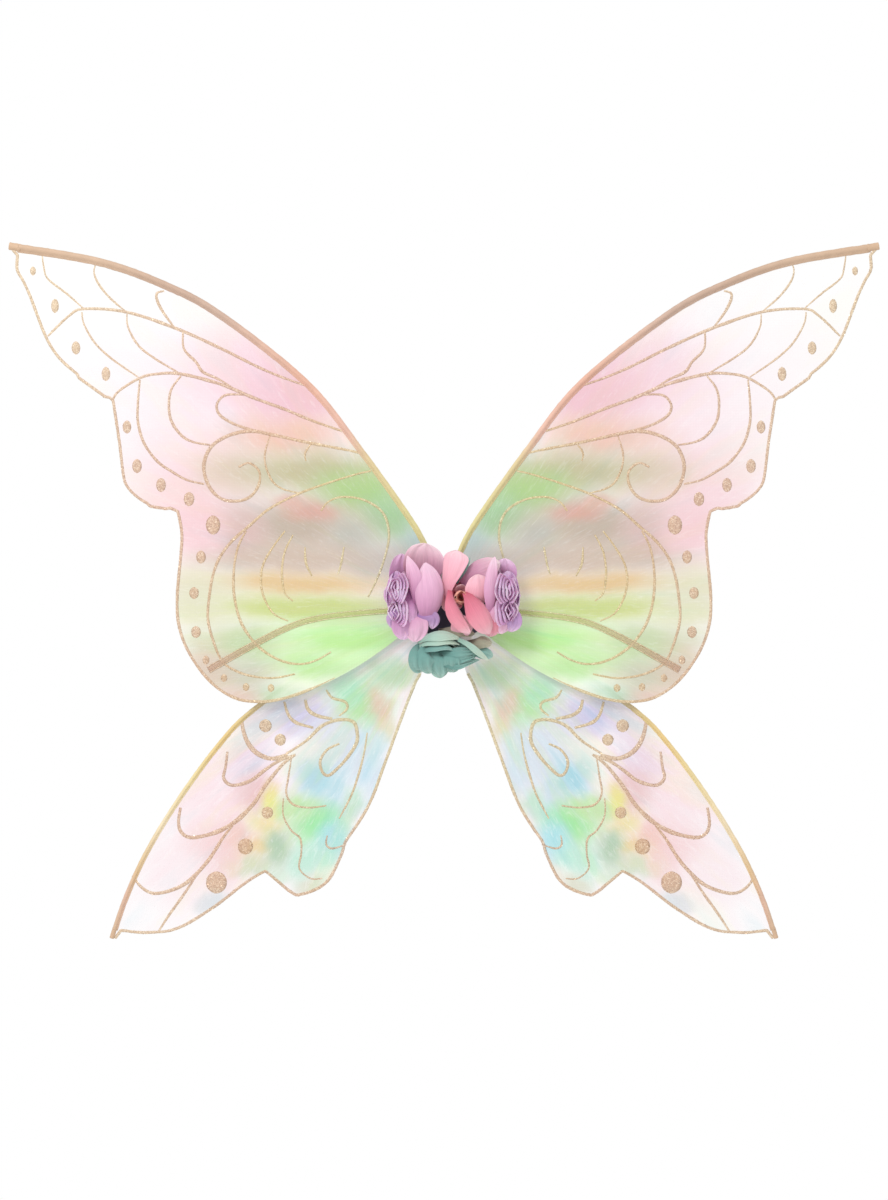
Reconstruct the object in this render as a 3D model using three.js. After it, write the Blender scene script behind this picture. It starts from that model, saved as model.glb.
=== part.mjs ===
// Costume fairy wings: four sheer wings on bent-wire frames, hinged on a small hub under a
// cluster of fabric roses, with two elastic shoulder loops behind the hub.
// Millimetres, +Z up as worn, the roses face -Y and the wearer's back is at y = 0.
import * as THREE from "three";

// ---- overall sizes
const upperSpan = 435; // hub centre to the upper tip, sideways
const upperRise = 366; // hub centre to the upper tip, upwards
const lowerSpan = 333; // hub centre to the lower tip, sideways
const lowerDrop = 327; // hub centre to the lower tip, downwards

// ---- wire frames, their fabric sleeves and the sheer sheets
const wireDiameter = 2.4;
const upperSleeveTipWidth = 8.5;
const upperSleeveRootWidth = 6.5;
const upperSleeveWall = 0.6; // front and back of the wire
const ribSleeveWidth = 6;
const ribSleeveWall = 0.3;
const lowerSleeveTipWidth = 6;
const lowerSleeveRootWidth = 5;
const lowerSleeveWall = 0.3;
const tipCapLength = 9;
const membraneThickness = 0.8;
const gap = 0.35; // between pieces that touch

// ---- the hub, from the wearer's side to the roses
const padWidth = 52;
const padHeight = 92;
const padThickness = 6.6;
const padCornerRadius = 12;
const strapWidth = 14;
const strapThickness = 1.2;
const strapSpacing = 36; // between the middles of the two loops
const strapReach = 122; // how far the loops stand out towards the wearer
const strapTuck = 22; // how much of each end lies under the pad
const strapRise = 6; // how far a loop clears the pad's top and bottom edges
const plateWidth = 40;
const plateHeight = 84;
const plateThickness = 2;
const plateCornerRadius = 9;
const screwDiameter = 4;
const screwHeadDiameter = 9;
const screwHeadThickness = 1.2;
const screwSpacing = 58;
const blockHeight = 96;
const legSpacing = 28; // between the two hinge lines
const legDepth = 26; // from the wearer's side to the hinge lines
const channelWall = 3.2;
const upperLegTop = 46;
const upperLegBottom = 9;
const lowerLegTop = -13;
const lowerLegBottom = -46;
const upperPlaneOffset = -4; // the upper wings lie in front of the hinge lines
const lowerPlaneOffset = 5; // and the lower wings behind them
const bendRise = 10; // height of the bend from a leg into its spar or rib
const feltDepth = 40; // from the wearer's side to the back of the felt
const feltThickness = 2;
const feltWidth = 84;
const feltHeight = 56;
const feltMiddle = { x: 7, z: 2 };

// ---- the roses: base on the felt, the way each faces, its radius and its height
const roses = {
  lilac_left: { x: -25, z: 15, faces: [-0.36, -0.93, 0.03], radius: 26, height: 27 },
  pink: { x: 18, z: 16, faces: [0.02, -1, 0.1], radius: 18.5, height: 30 },
  lilac_right: { x: 43, z: 15, faces: [0.66, -0.75, 0.02], radius: 21, height: 25 },
  mint: { x: 7, z: -24, faces: [0, -0.82, -0.57], radius: 26, height: 20, wide: 1.5 },
};
const petalWall = 1.6;
const calyxHeight = 5;
const calyxRadius = 5;
const petalsInRing = 5;

// ---- worked out from the sizes above
const sleeveSteps = 24;
const legX = legSpacing / 2;
const wireR = wireDiameter / 2;
const boreR = wireR + gap;
const sleeveHoleR = boreR + gap;
const upperSleeveDepth = 2 * (sleeveHoleR + upperSleeveWall);
const ribSleeveDepth = 2 * (sleeveHoleR + ribSleeveWall);
const lowerSleeveDepth = 2 * (sleeveHoleR + lowerSleeveWall);
const channelR = boreR + channelWall;
const upperPlane = -legDepth + upperPlaneOffset;
const lowerPlane = -legDepth + lowerPlaneOffset;
const ribPlane = upperPlane + membraneThickness / 2 + gap + ribSleeveDepth / 2;
const strapMiddle = -padThickness - gap - strapThickness / 2;
const plateNear = strapMiddle - strapThickness / 2 - gap;
const plateFar = plateNear - plateThickness;
const blockWidth = legSpacing - 2 * (channelR + gap + 0.5);
const membraneRoot = legX + channelR + 1.8; // clear of the channels as the wing swings
const frameRoot = membraneRoot + 4;
const ribRootZ = upperLegBottom - bendRise + 2;
const lowerRootZ = lowerLegTop + 4;

// ---------------------------------------------------------------- finishes
const finish = (color, roughness, metalness = 0, extra = {}) =>
  new THREE.MeshStandardMaterial({ color, roughness, metalness, ...extra });
const sheer = { transparent: true, opacity: 0.6, side: THREE.DoubleSide };
const upperOrganza = finish(0xf3d9e4, 0.35, 0.1, sheer);
const lowerOrganza = finish(0xd6ecea, 0.35, 0.1, sheer);
const peachRibbon = finish(0xe3bb96, 0.7);
const mintRibbon = finish(0xe6d6a8, 0.7);
const goldRibbon = finish(0xe2cc88, 0.6, 0.1);
const tanTape = finish(0xcf9f78, 0.75);
const springWire = finish(0xb9bcc0, 0.35, 0.9);
const padFelt = finish(0xe9d7dc, 0.95);
const darkFelt = finish(0x241c3a, 0.95);
const mouldedPlastic = finish(0xd8d4d6, 0.5);
const elasticBand = finish(0xf4f0ee, 0.8);
const zincSteel = finish(0xc8c9c6, 0.35, 0.9);
const calyxGreen = finish(0x5e7a5a, 0.8);
const petalCloth = {
  lilac_left: finish(0xc9a0d2, 0.8),
  pink: finish(0xf29bad, 0.8),
  lilac_right: finish(0xc2a0d4, 0.8),
  mint: finish(0x8fc4bb, 0.8),
};

const group = new THREE.Group();
group.name = "fairy_wings";

function add(parent, name, geometry, material) {
  const mesh = new THREE.Mesh(geometry, material);
  mesh.name = name;
  parent.add(mesh);
  return mesh;
}

// ---------------------------------------------------------------- lines of the wings
const flat = (u, z) => new THREE.Vector2(u, z);
// Places on a wing are shares of its span and of its rise or drop.
const onUpper = ([u, z]) => flat(u * upperSpan, z * upperRise);
const onLower = ([u, z]) => flat(u * lowerSpan, -z * lowerDrop);

// The upper spar leaves the top of its leg and bows out to the tip.
const upperSparLine = new THREE.SplineCurve([
  flat(legX, upperLegTop + bendRise),
  ...[[0.071, 0.243], [0.191, 0.443], [0.315, 0.626], [0.515, 0.814], [0.644, 0.896],
    [0.795, 0.959], [1, 1]].map(onUpper),
]);
// The rib leaves the bottom of that leg and crosses the lower part of the upper wing.
const ribLine = new THREE.SplineCurve([
  flat(frameRoot, ribRootZ),
  ...[[0.135, 0.003], [0.285, -0.016], [0.382, -0.055], [0.542, -0.158]].map(onUpper),
]);
// The lower spar leaves the top of the lower leg, behind the upper wing.
const lowerSparLine = new THREE.SplineCurve([
  flat(frameRoot, lowerRootZ),
  ...[[0.21, 0.083], [0.39, 0.171], [0.58, 0.303], [0.679, 0.407], [0.796, 0.569],
    [0.895, 0.734], [0.961, 0.881], [1, 1]].map(onLower),
]);

// The trailing edges are runs of curves that meet at cusps, from the tip to the hub.
const upperEdgeRuns = [
  [[0.984, 0.937], [0.956, 0.869], [0.913, 0.74], [0.869, 0.672], [0.784, 0.596], [0.763, 0.577]],
  [[0.763, 0.577], [0.749, 0.467], [0.736, 0.355], [0.713, 0.32], [0.684, 0.295],
    [0.637, 0.284], [0.614, 0.273]],
  [[0.614, 0.273], [0.605, 0.2], [0.616, 0], [0.586, -0.117], [0.524, -0.208],
    [0.453, -0.246], [0.356, -0.235], [0.221, -0.164], [0.101, -0.066]],
].map((run) => run.map(onUpper));
const lowerEdgeRuns = [
  [[0.919, 0.985], [0.811, 0.976], [0.697, 0.911], [0.595, 0.832], [0.538, 0.797]],
  [[0.538, 0.797], [0.48, 0.846], [0.441, 0.871], [0.355, 0.834], [0.31, 0.755], [0.294, 0.706]],
  [[0.294, 0.706], [0.225, 0.596], [0.174, 0.462], [0.105, 0.272]],
].map((run) => run.map(onLower));

// Stations along a line between two shares of its length: the place, the sideways direction
// and the sleeve's width there.
function stationsOn(line, steps, from, to, rootWidth, tipWidth) {
  return Array.from({ length: steps + 1 }, (_, k) => {
    const share = from + ((to - from) * k) / steps;
    const along = line.getTangentAt(share);
    return {
      place: line.getPointAt(share),
      across: flat(along.y, -along.x),
      width: rootWidth + (tipWidth - rootWidth) * share,
    };
  });
}

// ---------------------------------------------------------------- pieces of the wings
function ovalSection(width, depth, sides) {
  return Array.from({ length: sides }, (_, k) => {
    const turn = ((k + 0.5) / sides) * Math.PI * 2;
    return flat((Math.cos(turn) * width) / 2, (Math.sin(turn) * depth) / 2);
  });
}

// An oval section swept through the stations, in the plane y = planeY. With a hole it is the
// fabric sleeve round a wire, and without one it is the cap at the sleeve's end.
function sweptGeometry(stations, planeY, depth, holeR) {
  const rootWidth = stations[0].width;
  const section = new THREE.Shape(ovalSection(rootWidth, depth, 8));
  if (holeR) section.holes.push(new THREE.Path(ovalSection(holeR * 2, holeR * 2, 6)));
  const steps = stations.length - 1;
  const geometry = new THREE.ExtrudeGeometry(section, { depth: steps, steps, bevelEnabled: false });
  const points = geometry.attributes.position;
  for (let i = 0; i < points.count; i++) {
    const { place, across, width } = stations[Math.round(points.getZ(i))];
    const sideways = (points.getX(i) * width) / rootWidth;
    points.setXYZ(
      i, place.x + across.x * sideways, planeY + points.getY(i), place.y + across.y * sideways,
    );
  }
  geometry.computeVertexNormals();
  return geometry;
}

// A path that passes through every given point, so that close points keep a tight bend.
class PointPath extends THREE.Curve {
  constructor(points) {
    super();
    this.spline = new THREE.CatmullRomCurve3(points, false, "centripetal");
  }
  getPointAt(share) {
    return this.spline.getPoint(share);
  }
  getTangentAt(share) {
    return this.spline.getTangent(share);
  }
}

function wireGeometry(points) {
  return new THREE.ExtrudeGeometry(new THREE.Shape(ovalSection(wireDiameter, wireDiameter, 6)), {
    extrudePath: new PointPath(points),
    steps: points.length - 1,
    bevelEnabled: false,
  });
}

const inPlane = (stations, y) => stations.map(({ place }) => new THREE.Vector3(place.x, y, place.y));
const onLeg = (z) => new THREE.Vector3(legX, -legDepth, z);
// A quarter bend between a leg's end and the root of a spar or rib that leaves it sideways.
function quarterBend(legEndZ, root) {
  const corner = new THREE.Vector3(legX, -legDepth, root.z);
  const bend = new THREE.QuadraticBezierCurve3(onLeg(legEndZ), corner, root);
  return bend.getPoints(5).slice(1, -1);
}

// The sheer sheet: it starts beside the spar's sleeve and ends at the trailing edge.
function membraneGeometry(stations, edgeRuns, rootTop, rootBottom, planeY) {
  const outline = [rootTop];
  for (const { place, across, width } of stations) {
    outline.push(place.clone().addScaledVector(across, width / 2 + gap));
  }
  edgeRuns.forEach((run, k) => {
    const knots = k === edgeRuns.length - 1 ? [...run, rootBottom] : run;
    const pieces = knots.length * 2;
    outline.push(...new THREE.SplineCurve(knots).getSpacedPoints(pieces).slice(k ? 1 : 0));
  });
  const sheet = new THREE.ExtrudeGeometry(new THREE.Shape(outline), {
    depth: membraneThickness,
    bevelEnabled: false,
  });
  return sheet.rotateX(Math.PI / 2).translate(0, planeY + membraneThickness / 2, 0);
}

const capShareOf = (line) => tipCapLength / line.getLength();

function upperWing(side, prefix) {
  const capShare = capShareOf(upperSparLine);
  const gapShare = gap / upperSparLine.getLength();
  const widths = [upperSleeveRootWidth, upperSleeveTipWidth];
  const spar = stationsOn(upperSparLine, sleeveSteps, 0, 1 - capShare, ...widths);
  const rib = stationsOn(ribLine, sleeveSteps / 2, 0, 1, ribSleeveWidth, ribSleeveWidth);
  const cap = stationsOn(upperSparLine, 2, 1 - capShare + gapShare, 1, ...widths);

  add(side, prefix + "_upper_spar_sleeve",
    sweptGeometry(spar, upperPlane, upperSleeveDepth, sleeveHoleR), peachRibbon);
  add(side, prefix + "_upper_tip_cap", sweptGeometry(cap, upperPlane, upperSleeveDepth), tanTape);
  add(side, prefix + "_rib_sleeve", sweptGeometry(rib, ribPlane, ribSleeveDepth, sleeveHoleR),
    mintRibbon);

  const ribPoints = inPlane(rib, ribPlane);
  add(side, prefix + "_upper_wire", wireGeometry([
    ...ribPoints.slice(0, -1).reverse(),
    ...quarterBend(upperLegBottom, ribPoints[0]).reverse(),
    onLeg(upperLegBottom),
    onLeg(upperLegTop),
    ...inPlane(spar, upperPlane),
  ]), springWire);

  const rootTop = flat(membraneRoot, upperLegTop);
  const rootBottom = flat(membraneRoot, ribRootZ);
  add(side, prefix + "_upper_membrane",
    membraneGeometry(spar, upperEdgeRuns, rootTop, rootBottom, upperPlane), upperOrganza);
}

function lowerWing(side, prefix) {
  const capShare = capShareOf(lowerSparLine);
  const gapShare = gap / lowerSparLine.getLength();
  const widths = [lowerSleeveRootWidth, lowerSleeveTipWidth];
  const spar = stationsOn(lowerSparLine, sleeveSteps, 0, 1 - capShare, ...widths);
  const cap = stationsOn(lowerSparLine, 2, 1 - capShare + gapShare, 1, ...widths);

  add(side, prefix + "_lower_spar_sleeve",
    sweptGeometry(spar, lowerPlane, lowerSleeveDepth, sleeveHoleR), goldRibbon);
  add(side, prefix + "_lower_tip_cap", sweptGeometry(cap, lowerPlane, lowerSleeveDepth), tanTape);

  const sparPoints = inPlane(spar, lowerPlane);
  add(side, prefix + "_lower_wire", wireGeometry([
    onLeg(lowerLegBottom - 2),
    onLeg(lowerLegTop - 4),
    ...quarterBend(lowerLegTop - 4, sparPoints[0]),
    ...sparPoints,
  ]), springWire);

  const rootTop = flat(membraneRoot, lowerLegTop - 4);
  const rootBottom = flat(membraneRoot, lowerLegBottom - 8);
  add(side, prefix + "_lower_membrane",
    membraneGeometry(spar, lowerEdgeRuns, rootTop, rootBottom, lowerPlane), lowerOrganza);
}

// ---------------------------------------------------------------- the hub
function roundedRectangle(width, height, radius) {
  const [w, h, r] = [width / 2, height / 2, radius];
  return new THREE.Shape()
    .absarc(w - r, h - r, r, 0, Math.PI / 2)
    .absarc(r - w, h - r, r, Math.PI / 2, Math.PI)
    .absarc(r - w, r - h, r, Math.PI, Math.PI * 1.5)
    .absarc(w - r, r - h, r, Math.PI * 1.5, Math.PI * 2)
    .closePath();
}

// A shape drawn in x and z, made thick from y = near towards the roses.
function slabGeometry(shape, near, thickness, curveSegments = 5) {
  return new THREE.ExtrudeGeometry(shape, { depth: thickness, bevelEnabled: false, curveSegments })
    .rotateX(Math.PI / 2)
    .translate(0, near, 0);
}

const screwHeights = [screwSpacing / 2, -screwSpacing / 2];
function withScrewHoles(shape) {
  for (const z of screwHeights) {
    shape.holes.push(new THREE.Path().absarc(0, z, screwDiameter / 2 + gap, 0, Math.PI * 2, true));
  }
  return shape;
}

function hub() {
  const pad = roundedRectangle(padWidth, padHeight, padCornerRadius);
  add(group, "back_pad", slabGeometry(pad, 0, padThickness), padFelt);

  const plate = withScrewHoles(roundedRectangle(plateWidth, plateHeight, plateCornerRadius));
  add(group, "hub_plate", slabGeometry(plate, plateNear, plateThickness), mouldedPlastic);

  const blockNear = plateFar - gap;
  const blockDepth = feltDepth - gap + blockNear;
  const block = withScrewHoles(roundedRectangle(blockWidth, blockHeight, 2));
  add(group, "hub_block", slabGeometry(block, blockNear, blockDepth), mouldedPlastic);

  const felt = new THREE.Shape().absellipse(
    feltMiddle.x, feltMiddle.z, feltWidth / 2, feltHeight / 2, 0, Math.PI * 2,
  );
  add(group, "felt_backing", slabGeometry(felt, -feltDepth, feltThickness, 16), darkFelt);

  const shankLength = feltDepth + plateNear - gap;
  const screw = new THREE.LatheGeometry([
    flat(0, -shankLength),
    flat(screwDiameter / 2, -shankLength),
    flat(screwDiameter / 2, gap),
    flat(screwHeadDiameter / 2, gap),
    flat(screwHeadDiameter / 2, gap + screwHeadThickness * 0.4),
    flat(screwHeadDiameter / 4, gap + screwHeadThickness),
    flat(0, gap + screwHeadThickness),
  ], 12);
  ["top_screw", "bottom_screw"].forEach((name, k) => {
    add(group, name, screw, zincSteel).position.set(0, plateNear, screwHeights[k]);
  });
}

// A channel that a wing's root leg turns in: a boss with a flat side against the hub block.
function channel(side, name, bottom, top) {
  const flatSide = blockWidth / 2 + gap - legX;
  const boss = new THREE.Shape()
    .moveTo(flatSide, -channelR)
    .absarc(0, 0, channelR, -Math.PI / 2, Math.PI / 2)
    .lineTo(flatSide, channelR)
    .closePath();
  boss.holes.push(new THREE.Path().absarc(0, 0, boreR, 0, Math.PI * 2, true));
  const geometry = new THREE.ExtrudeGeometry(boss, {
    depth: top - bottom, bevelEnabled: false, curveSegments: 8,
  });
  add(side, name, geometry, mouldedPlastic).position.set(legX, -legDepth, bottom);
}

// An elastic loop: both ends tucked between the pad and the plate, and a drooping bow between.
function strap(side, name) {
  const top = padHeight / 2;
  const line = new THREE.SplineCurve([
    [strapMiddle, top - strapTuck],
    [strapMiddle, top - 3],
    [strapMiddle + 2.4, top + strapRise * 0.7],
    [strapReach * 0.05, top + strapRise],
    [strapReach * 0.3, top * 1.06],
    [strapReach * 0.62, top * 0.86],
    [strapReach * 0.9, top * 0.42],
    [strapReach, top * -0.14],
    [strapReach * 0.9, top * -0.68],
    [strapReach * 0.62, top * -0.98],
    [strapReach * 0.3, top * -1.08],
    [strapReach * 0.05, -top - strapRise],
    [strapMiddle + 2.4, -top - strapRise * 0.7],
    [strapMiddle, 3 - top],
    [strapMiddle, strapTuck - top],
  ].map(([y, z]) => flat(y, z)));
  const steps = 46;
  const [w, t] = [strapWidth / 2, strapThickness / 2];
  const section = new THREE.Shape([flat(-w, -t), flat(w, -t), flat(w, t), flat(-w, t)]);
  const band = new THREE.ExtrudeGeometry(section, { depth: steps, steps, bevelEnabled: false });
  const points = band.attributes.position;
  for (let i = 0; i < points.count; i++) {
    const share = points.getZ(i) / steps;
    const place = line.getPoint(share);
    const along = line.getTangent(share);
    const lift = points.getY(i);
    points.setXYZ(
      i, strapSpacing / 2 + points.getX(i), place.x + along.y * lift, place.y - along.x * lift,
    );
  }
  band.computeVertexNormals();
  add(side, name, band, elasticBand);
}

// ---------------------------------------------------------------- the roses
// A ring of petals: a scalloped cup round +Y, with its floor at y = 0.
function petalCup(radius, height, turn) {
  const w = petalWall;
  const cup = new THREE.LatheGeometry([
    flat(0, 0),
    flat(radius * 0.4, height * 0.05),
    flat(radius * 0.82, height * 0.42),
    flat(radius, height),
    flat(radius - w, height),
    flat(radius * 0.82 - w, height * 0.42 + w / 2),
    flat(radius * 0.4 - w / 2, height * 0.05 + w),
    flat(0, w),
  ], 20);
  const points = cup.attributes.position;
  for (let i = 0; i < points.count; i++) {
    const [x, y, z] = [points.getX(i), points.getY(i), points.getZ(i)];
    const wave = Math.cos(petalsInRing * Math.atan2(z, x) + turn);
    const reach = (y / height) ** 2 * (Math.hypot(x, z) / radius);
    const spread = 1 + 0.05 * reach * wave;
    points.setXYZ(i, x * spread, y * (1 - 0.08 * reach * (1 - wave)), z * spread);
  }
  cup.computeVertexNormals();
  return cup;
}

function bud(radius, height) {
  return new THREE.LatheGeometry([
    flat(0, 0),
    flat(radius * 0.5, height * 0.06),
    flat(radius, height * 0.5),
    flat(radius * 0.75, height * 0.88),
    flat(radius * 0.3, height),
    flat(0, height * 0.96),
  ], 14);
}

function rose(name, { x, z, faces, radius, height, wide = 1 }) {
  const whole = new THREE.Group();
  const axis = new THREE.Vector3(...faces).normalize();
  whole.position.set(x, -feltDepth - feltThickness - gap, z);
  whole.quaternion.setFromUnitVectors(new THREE.Vector3(0, 1, 0), axis);
  whole.scale.set(wide, 1, 1);
  group.add(whole);

  const tiltRoom = calyxRadius * Math.sqrt(1 - axis.y ** 2);
  const ring = (part, geometry, floor) =>
    add(whole, name + "_" + part, geometry, petalCloth[name]).position.set(0, floor, 0);
  const calyx = new THREE.CylinderGeometry(calyxRadius * 1.2, calyxRadius, calyxHeight, 12);
  add(whole, name + "_calyx", calyx, calyxGreen).position.set(0, tiltRoom + calyxHeight / 2, 0);

  const outerFloor = tiltRoom + calyxHeight + gap;
  const middleFloor = outerFloor + petalWall + gap + 1;
  const innerFloor = middleFloor + petalWall + gap + 1;
  ring("outer_petals", petalCup(radius, height * 0.8, 0), outerFloor);
  ring("middle_petals", petalCup(radius * 0.7, height * 0.8, 2), middleFloor);
  ring("inner_petals", bud(radius * 0.42, height * 0.78), innerFloor);
}

// ---------------------------------------------------------------- put together
hub();
for (const [prefix, mirror] of [["left", -1], ["right", 1]]) {
  const side = new THREE.Group();
  side.scale.x = mirror;
  group.add(side);
  channel(side, prefix + "_upper_channel", upperLegBottom, upperLegTop);
  channel(side, prefix + "_lower_channel", lowerLegBottom, lowerLegTop - 4);
  strap(side, prefix + "_strap");
  upperWing(side, prefix);
  lowerWing(side, prefix);
}
for (const [name, rule] of Object.entries(roses)) rose(name, rule);

export default group;
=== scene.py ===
import math

import bmesh
import bpy
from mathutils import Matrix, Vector, noise


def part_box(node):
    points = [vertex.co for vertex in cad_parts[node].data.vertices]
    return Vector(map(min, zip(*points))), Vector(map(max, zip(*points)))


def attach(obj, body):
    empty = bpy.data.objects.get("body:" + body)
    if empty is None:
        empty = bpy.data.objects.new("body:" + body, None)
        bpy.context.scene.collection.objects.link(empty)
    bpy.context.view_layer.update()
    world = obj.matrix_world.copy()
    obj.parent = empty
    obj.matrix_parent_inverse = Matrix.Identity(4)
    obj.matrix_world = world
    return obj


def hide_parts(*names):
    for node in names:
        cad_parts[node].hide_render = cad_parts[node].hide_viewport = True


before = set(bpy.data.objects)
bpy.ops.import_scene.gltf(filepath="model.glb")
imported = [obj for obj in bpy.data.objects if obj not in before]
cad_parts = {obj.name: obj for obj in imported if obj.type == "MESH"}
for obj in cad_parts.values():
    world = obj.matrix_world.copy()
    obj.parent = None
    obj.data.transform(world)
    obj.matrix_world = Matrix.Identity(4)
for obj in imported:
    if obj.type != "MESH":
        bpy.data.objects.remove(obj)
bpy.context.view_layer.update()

# Fairy wings: organza wings with glitter veins, fabric-bound spars and a cluster of cloth roses.
mm = 0.001
sides = {"left": -1, "right": 1}


# camera, light and floor
studio = {
    "lens": 135, "sensor": 36, "tallView": 1.2,  # metres of height that the view takes in at the wings
    "aimHeight": 0.012, "wingPlane": -0.03,
    "ambient": 0.86, "floorDrop": 0.8, "floorRadius": 1.1,
    # each light's place, size and power
    "lights": {"keyLight": ((-1.1, -2.0, 1.7), 0.9, 34), "rimLight": ((1.3, 1.5, 1.2), 1.2, 9)},
}


def linear(hexColour):
    # sRGB hex to the linear values that the shaders take
    values = [int(hexColour[i:i + 2], 16) / 255 for i in (1, 3, 5)]
    return [v / 12.92 if v <= 0.04045 else ((v + 0.055) / 1.055) ** 2.4 for v in values] + [1.0]


def setStudio():
    scene = bpy.context.scene
    scene.view_settings.view_transform = "Standard"
    scene.cycles.transparent_max_bounces = 24
    distance = studio["tallView"] * studio["lens"] / studio["sensor"]
    lens = bpy.data.cameras.new("camera")
    lens.lens, lens.sensor_width, lens.clip_end = studio["lens"], studio["sensor"], 50
    camera = bpy.data.objects.new("camera", lens)
    camera.location = (0, studio["wingPlane"] - distance, studio["aimHeight"])
    camera.rotation_euler = (math.pi / 2, 0, 0)
    scene.collection.objects.link(camera)
    scene.camera = camera

    # a bright even surround, seen as plain white
    world = bpy.data.worlds.new("paleSurround")
    scene.world = world
    world.use_nodes = True
    nodes, links = world.node_tree.nodes, world.node_tree.links
    nodes.clear()
    seen = nodes.new("ShaderNodeBackground")
    lighting = nodes.new("ShaderNodeBackground")
    lighting.inputs["Strength"].default_value = studio["ambient"]
    for background in (seen, lighting):
        background.inputs["Color"].default_value = (1, 1, 1, 1)
    mix = nodes.new("ShaderNodeMixShader")
    path = nodes.new("ShaderNodeLightPath")
    links.new(path.outputs["Is Camera Ray"], mix.inputs[0])
    links.new(lighting.outputs[0], mix.inputs[1])
    links.new(seen.outputs[0], mix.inputs[2])
    links.new(mix.outputs[0], nodes.new("ShaderNodeOutputWorld").inputs[0])

    for name, (spot, size, power) in studio["lights"].items():
        lamp = bpy.data.lights.new(name, "AREA")
        lamp.size, lamp.energy = size, power
        light = bpy.data.objects.new(name, lamp)
        light.location = spot
        light.rotation_euler = (-Vector(spot)).to_track_quat("-Z", "Y").to_euler()
        scene.collection.objects.link(light)

    bpy.ops.mesh.primitive_circle_add(
        vertices=96, radius=studio["floorRadius"], fill_type="NGON", location=(0, 0, -studio["floorDrop"]))
    floor = bpy.context.object
    floor.name = "paleFloor"
    return floor


# nodes and finishes
def node(tree, kind, inputs=None, links=None, **settings):
    # adds a node: settings are its properties, inputs its values and links what feeds it
    made = tree.nodes.new(kind)
    for key, value in settings.items():
        setattr(made, key, value)
    for key, value in (inputs or {}).items():
        made.inputs[key].default_value = value
    for key, source in (links or {}).items():
        tree.links.new(source, made.inputs[key])
    return made


def feed(tree, socket, value):
    # a socket takes a value, or a link from another socket
    if isinstance(value, bpy.types.NodeSocket):
        tree.links.new(value, socket)
    else:
        socket.default_value = value


def newMaterial(name, **principled):
    material = bpy.data.materials.new(name)
    material.use_nodes = True
    tree = material.node_tree
    tree.nodes.clear()
    shader = node(tree, "ShaderNodeBsdfPrincipled", principled)
    node(tree, "ShaderNodeOutputMaterial", links={"Surface": shader.outputs[0]})
    return material, tree, shader


def mixColours(tree, factor, a, b, blend="MIX"):
    mixed = node(tree, "ShaderNodeMix", data_type="RGBA", blend_type=blend)
    for socket, value in ((0, factor), (6, a), (7, b)):
        feed(tree, mixed.inputs[socket], value)
    return mixed.outputs[2]


def calc(tree, operation, *values, clamp=False):
    made = node(tree, "ShaderNodeMath", operation=operation, use_clamp=clamp)
    for socket, value in zip(made.inputs, values):
        feed(tree, socket, value)
    return made.outputs[0]


def vector(tree, operation, a, b=None):
    made = node(tree, "ShaderNodeVectorMath", operation=operation)
    feed(tree, made.inputs[0], a)
    if b is not None:
        feed(tree, made.inputs["Scale" if operation == "SCALE" else 1], b)
    return made.outputs["Value" if operation == "LENGTH" else 0]


def ranged(tree, value, fromLow, fromHigh, low, high, ease="LINEAR"):
    limits = {"From Min": fromLow, "From Max": fromHigh, "To Min": low, "To Max": high}
    return node(tree, "ShaderNodeMapRange", limits, {"Value": value}, interpolation_type=ease).outputs[0]


def toned(tree, share, stops):
    # colours along a share from 0 to 1
    ramp = node(tree, "ShaderNodeValToRGB", links={"Fac": share})
    elements = ramp.color_ramp.elements
    while len(elements) < len(stops):
        elements.new(0.5)
    for element, (place, hexColour) in zip(elements, stops):
        element.position, element.color = place, linear(hexColour)
    return ramp.outputs[0]


def noiseOn(tree, where, scale, detail, more=None):
    return node(tree, "ShaderNodeTexNoise", {"Scale": scale, "Detail": detail, **(more or {})},
                {"Vector": where}).outputs["Fac"]


def cellsOn(tree, where, size):
    return node(tree, "ShaderNodeTexVoronoi", {"Scale": 1 / size}, {"Vector": where}).outputs


def bandsOn(tree, where, period, direction, more):
    # wave bands this far apart
    return node(tree, "ShaderNodeTexWave", {"Scale": math.pi / 10 / period, **more}, {"Vector": where},
                bands_direction=direction).outputs["Fac"]


def bumped(tree, shader, height, strength, distance):
    bump = node(tree, "ShaderNodeBump", {"Strength": strength, "Distance": distance}, {"Height": height})
    tree.links.new(bump.outputs[0], shader.inputs["Normal"])


def coloured(tree, shader, colour):
    tree.links.new(colour, shader.inputs["Base Color"])


def objectPlace(tree):
    return node(tree, "ShaderNodeTexCoord").outputs["Object"]


def clothPlace(tree):
    return node(tree, "ShaderNodeUVMap", uv_map="cloth").outputs[0]


def partsOf(tree, where):
    return node(tree, "ShaderNodeSeparateXYZ", links={0: where}).outputs


def shaded(tree, colour, shade):
    return mixColours(tree, 1.0, colour, shade, "MULTIPLY")


washEdge = (0.15, 1.25)  # where a patch begins to fade and is gone, as shares of its reach
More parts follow.
